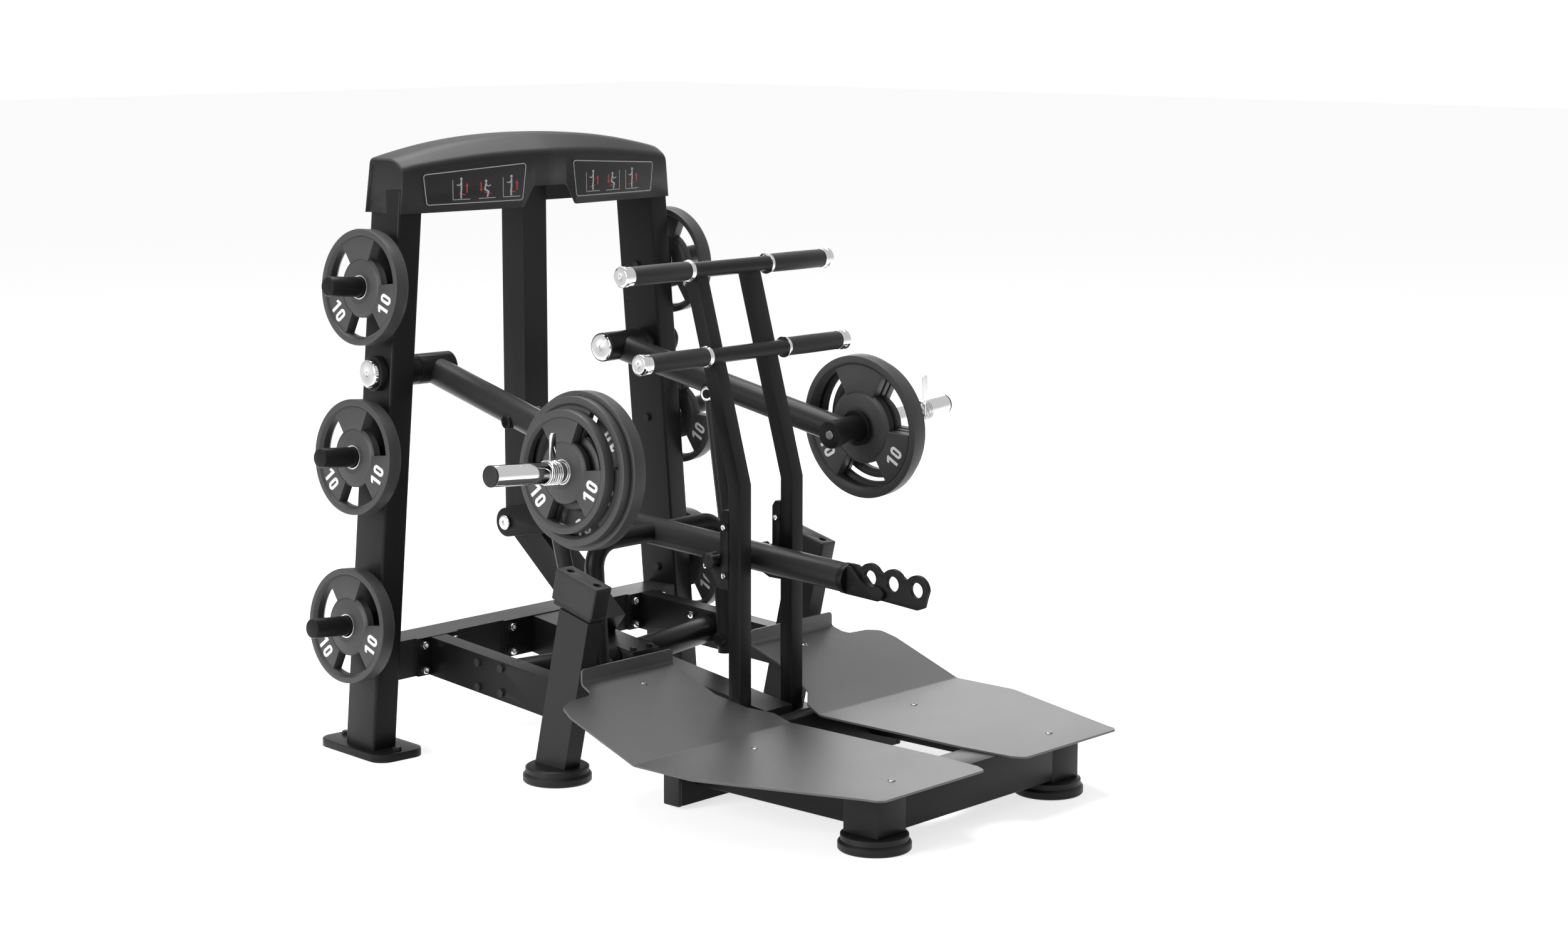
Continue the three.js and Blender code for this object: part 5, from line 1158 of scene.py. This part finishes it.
# Link rods
link = {"eye": (12.3, 29, 20), "end": (272, 1050, 242), "endEye": (27, 38), "rod": 19.5, "start": 0.035}
top, end = Vector(loadingArm["linkTop"]), Vector(link["end"])
bore, radius, wide = link["eye"]
endRadius, endWide = link["endEye"]
overhang = Vector((endWide / 2, 0, 0))
onBoth("link", "link_{}", coated(
    "powderCoat",
    ringPart(top, yawOut, -wide / 2, wide / 2, bore, radius, 1.5),
    rod(end - overhang, end + overhang, endRadius, 2),
    swept([top.lerp(end, link["start"]), end], link["rod"], 48)), "link_{}")
print("arms done")

# Belt arm
beltArm = {
    "radius": 35, "rearY": 1452, "frontY": 444, "datum": (1094.3, 546.9), "slope": turn(2.9),
    "pivot": (1577, 514),
    "cap": [(-8, 34), (-8, 37, 1.5), (9, 37, 1.5), (9, 30.5, 1.5), (6, 29.5), (6, 0)],
    "fork": {"tall": 76, "frontY": 1415, "thick": 10, "rise": turn(10.7), "inner": 40.6, "bore": 14.6,
             "steps": 24},
    "block": {"rearY": 1474, "tall": 62, "half": 45},
    "yoke": {"radius": 24, "corner": (225, 1072, 548), "bend": 66, "end": (1050, 242), "tail": 37,
             "pin": (191, 249, 16)},
    "pin": {"y": 767, "half": 124, "radius": 13, "knob": (18, 14), "lobes": 8, "lobeDeep": 1.7},
    "clevis": {"inner": 6.3, "thick": 11, "length": 117.5, "tall": 72.3, "low": 474.5, "rearY": 439.5,
               "shares": [(0, 1, 1), (0.13, 1, 5), (0.336, 0.718, 30), (0.502, 0.429, 14), (0.747, 0.484, 20),
                          (0.91, 0.454, 12), (1, 0.31, 12), (0.987, 0.18, 14), (0.886, 0, 14), (0, 0.07, 2)],
               "dimples": [(411.7, 496.9), (338.8, 493.3)], "dimple": 4},
}


def beltZ(y):
    return beltArm["datum"][1] - math.tan(beltArm["slope"]) * (beltArm["datum"][0] - y)


def knobPart(place, direction, shape):
    # A round knob with shallow dents between its lobes
    (radius, tall), lobes, deep = shape["knob"], shape["lobes"], shape["lobeDeep"]
    place, direction = Vector(place), Vector(direction)
    across, other = crossways(direction)
    loop = []
    for i in range(lobes * 10):
        angle = tau * i / (lobes * 10)
        reach = radius - deep * (0.5 - 0.5 * math.cos(lobes * angle)) ** 2
        loop.append((reach * math.cos(angle), reach * math.sin(angle)))
    return sheet([loop], 0, tall, lambda u, v, w: place + across * u + other * v + direction * w, 2)


def forkOutline(fork, pivotY, pivotZ):
    # Round behind the pivot and straight toward the front, along its own slope
    half, steps = fork["tall"] / 2, fork["steps"]
    c, s = math.cos(fork["rise"]), math.sin(fork["rise"])
    length = (pivotY - fork["frontY"]) / c
    angles = [math.pi * k / steps - math.pi / 2 for k in range(steps + 1)]
    outline = [(-half * math.cos(angle), half * math.sin(angle)) for angle in angles]
    outline += [(length, half), (length, -half)]
    return [(pivotY - c * u + s * v, pivotZ + s * u + c * v) for u, v in outline]


def beltArmParts(shape=beltArm):
    rear, front = (Vector((0, shape[end], beltZ(shape[end]))) for end in ("rearY", "frontY"))
    parts = coated("powderCoat", swept([rear, front], shape["radius"], 72),
                   spun(shape["cap"], front, front - rear, 72))
    fork, core, yoke, pin, clevis = (shape[key] for key in ("fork", "block", "yoke", "pin", "clevis"))
    pivotY, pivotZ = shape["pivot"]
    # Fork plates on both sides of the post, with the core between them
    forkLoops = [forkOutline(fork, pivotY, pivotZ), oval(pivotY, pivotZ, fork["bore"])]
    for sign in (-1, 1):
        low, high = sorted((sign * fork["inner"], sign * (fork["inner"] + fork["thick"])))
        parts += coated("powderCoat", sheet(forkLoops, low, high, alongX, 1.5))
    lowZ, half = beltZ(shape["rearY"]) - core["tall"] / 2, core["half"]
    parts += coated("powderCoat",
                    block((-half, fork["frontY"], lowZ), (half, core["rearY"], lowZ + core["tall"]), 3))
    # Yoke: one bent tube over the arm and down to the links' pins
    corner, end = Vector(yoke["corner"]), yoke["end"]
    foot = Vector((corner.x, *end))
    tail = foot + (foot - corner).normalized() * yoke["tail"]
    path = [Vector((-p.x, p.y, p.z)) for p in (tail, corner)] + [corner, tail]
    parts += coated("powderCoat", swept(bendPath(path, yoke["bend"], 12), yoke["radius"], 40))
    inner, outer, radius = yoke["pin"]
    parts += coated("powderCoat", *[rod((sign * inner, *end), (sign * outer, *end), radius, 1.5, 40)
                                    for sign in (-1, 1)])
    place = (pin["y"], beltZ(pin["y"]))
    parts += coated("powderCoat", rod((-pin["half"], *place), (pin["half"], *place), pin["radius"], 1, 40))
    parts += coated("blackRubber", *[knobPart((sign * pin["half"], *place), (sign, 0, 0), pin)
                                     for sign in (-1, 1)])
    # Clevis plates at the front, for the hook plate
    outline = rounded([(clevis["rearY"] - clevis["length"] * a, clevis["low"] + clevis["tall"] * b, r)
                       for a, b, r in clevis["shares"]], 0, 6)
    for sign in (-1, 1):
        inner, face = sign * clevis["inner"], sign * (clevis["inner"] + clevis["thick"])
        parts += coated("powderCoat", sheet([outline], min(inner, face), max(inner, face), alongX, 1.5))
        dimples = [rod((face - sign, y, z), (face + sign * 0.6, y, z), clevis["dimple"], 0.4, 24)
                   for y, z in clevis["dimples"]]
        parts += coated("powderCoat", *dimples)
    return parts


assemble("beltArm", "belt_arm", beltArmParts(), 1, ["belt_arm"])

hookPlate = {
    "half": 6, "hole": 18, "lobe": 35, "holes": [(371.5, 524.8), (302.7, 519.4), (230.6, 514.7)],
    "heel": [(432.8, -47, 2), (432.8, 22.4, 2), (411.8, 22.4, 4), (403, 18, 8)],
    "toe": [(202.6, -17.2, 6), (207.9, -37.6, 8), (228.2, -47, 8)],
    "arcs": [(38, 142), (38, 142), (38, 178)], "arcSteps": 16, "valley": (18.5, 6),
}


def hookPlatePart(shape=hookPlate):
    # Three holes in a row, each with its own lobe above it
    holes, lobe, (valley, valleyRadius) = shape["holes"], shape["lobe"], shape["valley"]
    (firstY, firstZ), (lastY, lastZ) = holes[0], holes[-1]

    def line(y, above):
        return lastZ + (firstZ - lastZ) / (firstY - lastY) * (y - lastY) + above

    outline = [(y, line(y, above), radius) for y, above, radius in shape["heel"]]
    for index, ((y, z), (first, last)) in enumerate(zip(holes, shape["arcs"])):
        for k in range(shape["arcSteps"] + 1):
            angle = turn(first + (last - first) * k / shape["arcSteps"])
            outline.append((y + lobe * math.cos(angle), z + lobe * math.sin(angle)))
        if index < len(holes) - 1:
            between = (y + holes[index + 1][0]) / 2
            outline[-1] = (*outline[-1], valleyRadius)
            outline.append((between, line(between, valley), valleyRadius))
    outline += [(y, line(y, above), radius) for y, above, radius in shape["toe"]]
    loops = [rounded(outline, 0, 5)] + [oval(y, z, shape["hole"], 48) for y, z in holes]
    return sheet(loops, -shape["half"], shape["half"], alongX, 1.3)


assemble("beltHookPlate", "belt_arm", coated("powderCoat", hookPlatePart()), 1,
         ["belt_hook_plate"])

beltAxle = {"half": 51, "radius": 14, "cap": (19, 8, 6, 5, 2.5)}


def axleParts(axle, place, capSides, gap=0.0):
    caps = [axleCap((sign * (axle["half"] - gap), *place), (sign, 0, 0), axle["cap"], capSides)
            for sign in (-1, 1)]
    bar = rod((-axle["half"], *place), (axle["half"], *place), axle["radius"], 1, 40)
    return caps, bar


caps, bar = axleParts(beltAxle, beltArm["pivot"], 48)
assemble("beltAxle", "frame", coated("chrome", *caps, bar), 1, ["belt_axle"])
print("belt arm done")

# Handle frame
handle = {
    "tube": 40, "x": 92, "frontY": 686, "pivot": (706, 145), "bendZ": 718, "lean": turn(16.1), "topZ": 1228,
    "footSteps": 12, "bars": (1222, 1022), "barRadius": 18.75,
    "grip": {"inner": 144, "long": 188, "bore": 18.9, "radius": 22.5, "middle": 23},
    "collar": [(-11, 17), (-11, 26, 1), (-6.05, 26, 1), (-4.4, 24, 1), (-0.3, 24, 1), (-0.3, 17)],
    "cap": [(0, 0), (0, 23.5, 0.8), (14.5, 23.5, 0.8), (15.95, 25, 0.8), (26.1, 25, 2.5), (29, 20, 2),
            (29, 6, 0.8), (26, 5, 0.5), (26, 0)],
    "capGap": 0.3, "axle": {"half": 113, "radius": 12, "cap": (17, 7, 5, 4.5, 2)}, "axleCapIn": 0.4,
}


def handleY(z):
    return handle["frontY"] + max(0, z - handle["bendZ"]) * math.tan(handle["lean"])


def handleFrameParts(shape=handle):
    size, lean, frontY, steps = shape["tube"], shape["lean"], shape["frontY"], shape["footSteps"]
    half, grip = size / 2, shape["grip"]
    front = (handleY(shape["topZ"]), shape["topZ"])
    back = (front[0] + size * math.cos(lean), front[1] - size * math.sin(lean))
    # Each post is round at its foot and leans back above the bend
    angles = [math.pi + math.pi * k / steps for k in range(steps + 1)]
    pivotZ, bendZ, x = shape["pivot"][1], shape["bendZ"], shape["x"]
    outline = [(frontY + half + half * math.cos(angle), pivotZ + half * math.sin(angle)) for angle in angles]
    outline += [(frontY + size, bendZ - size * math.tan(lean / 2)), back, front, (frontY, bendZ)]
    parts = coated("powderCoat", *[sheet([outline], side * x - half, side * x + half, alongX, 3)
                                   for side in (-1, 1)])
    for z in shape["bars"]:
        y, inner = handleY(z), grip["inner"]
        parts += coated("powderCoat", swept([(-inner, y, z), (inner, y, z)], shape["barRadius"], 56))
        start = inner + grip["long"] + shape["capGap"]
        for side in (-1, 1):
            parts += coated("chrome", spunRing(shape["collar"], (side * inner, y, z), (side, 0, 0)),
                            spun(shape["cap"], (side * start, y, z), (side, 0, 0)))
    return parts


def gripPart(z, shape=handle["grip"]):
    bore, radius, long = shape["bore"], shape["radius"], shape["long"]
    profile = [(0, bore), (0, radius, 1.2), (long * 0.5, shape["middle"]), (long, radius, 1.2), (long, bore)]
    return spunRing(profile, (shape["inner"], handleY(z), z), (1, 0, 0))


assemble("handleFrame", "handle_frame", handleFrameParts(), 1, ["handle_frame"])
for level, z in zip(("upper", "lower"), handle["bars"]):
    onBoth(f"{level}Grip", "handle_frame", coated("gripRubber", gripPart(z)),
           f"grip_{level}_{{}}")
caps, bar = axleParts(handle["axle"], handle["pivot"], 40, handle["axleCapIn"])
assemble("handleAxle", "frame", coated("darkSteel", bar, *caps), 1, ["handle_axle"])

# Latch hooks
latch = {
    "tall": 193, "reach": 86, "top": 655, "baseY": 726.3, "x": 92, "half": 20,
    "wall": 14, "floor": 13.5, "lip": 13, "boltScale": 0.72,
    "backShares": [(0, 0.985, 3), (0.06, 1, 4), (0.2, 1, 5)], "wallShare": (0.93, 6),
    "lipShares": [(0.82, 0.4, 4), (0.9, 0.42, 5), (1, 0.385, 7), (1, 0.18, 16), (0.69, 0.05, 18),
                  (0.42, 0, 14), (0, 0, 2)],
    "boltShares": [(0.1, 0.79), (0.79, 0.27), (0.1, 0.18)],
}


def latchParts(side, shape=latch):
    def at(across, up, *radius):
        return (shape["baseY"] + shape["reach"] * across, shape["top"] - shape["tall"] * (1 - up), *radius)

    pinY = beltArm["pin"]["y"]
    wall, floor, lip = pinY - shape["wall"], beltZ(pinY) - shape["floor"], shape["lip"]
    share, radius = shape["wallShare"]
    notch = [(wall, at(0, share)[1], radius), (wall, floor + lip, 0), (wall, floor, 5), (pinY + lip, floor, 4)]
    back, front = ([at(*share) for share in shape[key]] for key in ("backShares", "lipShares"))
    low, high = side * shape["x"] - shape["half"], side * shape["x"] + shape["half"]
    parts = coated("powderCoat", sheet([rounded(back + notch + front, 0, 5)], low, high, alongX, 1.5))
    for share in shape["boltShares"]:
        parts += socketBolt((low, *at(*share)), (-1, 0, 0), shape["boltScale"])
    return parts


for key, side in sides.items():
    assemble(f"latchHook{key.upper()}", "handle_frame", latchParts(side), 1,
             [f"latch_hook_{key}"])
print("handle frame done")

# Studio, in metres
studio = {
    "floorReach": 40, "floorGrey": 0.8, "floorRough": 0.9, "floorLift": 0.72,
    "worldDiffuse": 0.3, "worldGloss": 0.8,
    "lamps": {
        "overhead": {"place": (0.5, 1.5, 5.5), "aim": (0, 0.2, 0), "size": (4, 4), "power": 400},
        "fromLeft": {"place": (-6.5, 1.2, 2.4), "aim": (0, 0, 0.8), "size": (3, 3), "power": 260},
        "fromBehind": {"place": (4.2, 3.0, 1.6), "aim": (0.6, -0.3, 0.1), "size": (2.4, 2.0), "power": 34},
    },
}


def makeFloor(setup):
    mesh = bpy.data.meshes.new("floor")
    reach = setup["floorReach"]
    corners = [(-reach, -reach, 0), (reach, -reach, 0), (reach, reach, 0), (-reach, reach, 0)]
    mesh.from_pydata(corners, [], [(0, 1, 2, 3)])
    floor = addObject("floor", mesh)
    material, tree, shader = newMaterial("paleFloor")
    shader.inputs["Base Color"].default_value = (*grey(setup["floorGrey"]), 1)
    shader.inputs["Roughness"].default_value = setup["floorRough"]
    shader.inputs["Specular IOR Level"].default_value = 0.0
    glow = addNode(tree, "ShaderNodeEmission")
    path = addNode(tree, "ShaderNodeLightPath")
    level = addNode(tree, "ShaderNodeMath", operation="MAXIMUM")
    lift = addNode(tree, "ShaderNodeMath", {1: setup["floorLift"]}, operation="MULTIPLY")
    both = addNode(tree, "ShaderNodeAddShader")
    join(tree,
         (path.outputs["Is Camera Ray"], level.inputs[0]), (path.outputs["Is Glossy Ray"], level.inputs[1]),
         (level.outputs[0], lift.inputs[0]), (lift.outputs[0], glow.inputs["Strength"]),
         (shader.outputs[0], both.inputs[0]), (glow.outputs[0], both.inputs[1]),
         (both.outputs[0], tree.nodes["Material Output"].inputs["Surface"]))
    mesh.materials.append(material)


def makeWorld(setup):
    world = bpy.data.worlds.new("studio")
    bpy.context.scene.world = world
    world.use_nodes = True
    tree = world.node_tree
    background = tree.nodes["Background"]
    background.inputs["Color"].default_value = (1, 1, 1, 1)
    path = addNode(tree, "ShaderNodeLightPath")
    levels = {"A": setup["worldDiffuse"], "B": setup["worldGloss"]}
    gloss = addNode(tree, "ShaderNodeMix", levels, data_type="FLOAT")
    seen = addNode(tree, "ShaderNodeMix", {"B": 1.0}, data_type="FLOAT")
    join(tree,
         (path.outputs["Is Glossy Ray"], gloss.inputs["Factor"]),
         (path.outputs["Is Camera Ray"], seen.inputs["Factor"]),
         (gloss.outputs["Result"], seen.inputs["A"]), (seen.outputs["Result"], background.inputs["Strength"]))


def makeLamp(name, setup):
    data = bpy.data.lights.new(name, "AREA")
    data.shape = "RECTANGLE"
    data.size, data.size_y = setup["size"]
    data.energy = setup["power"]
    place = Vector(setup["place"])
    addObject(name, data).matrix_world = aimed(place, Vector(setup["aim"]) - place)


makeFloor(studio)
makeWorld(studio)
for name, setup in studio["lamps"].items():
    makeLamp(name, setup)
bpy.context.scene.view_settings.view_transform = "Standard"
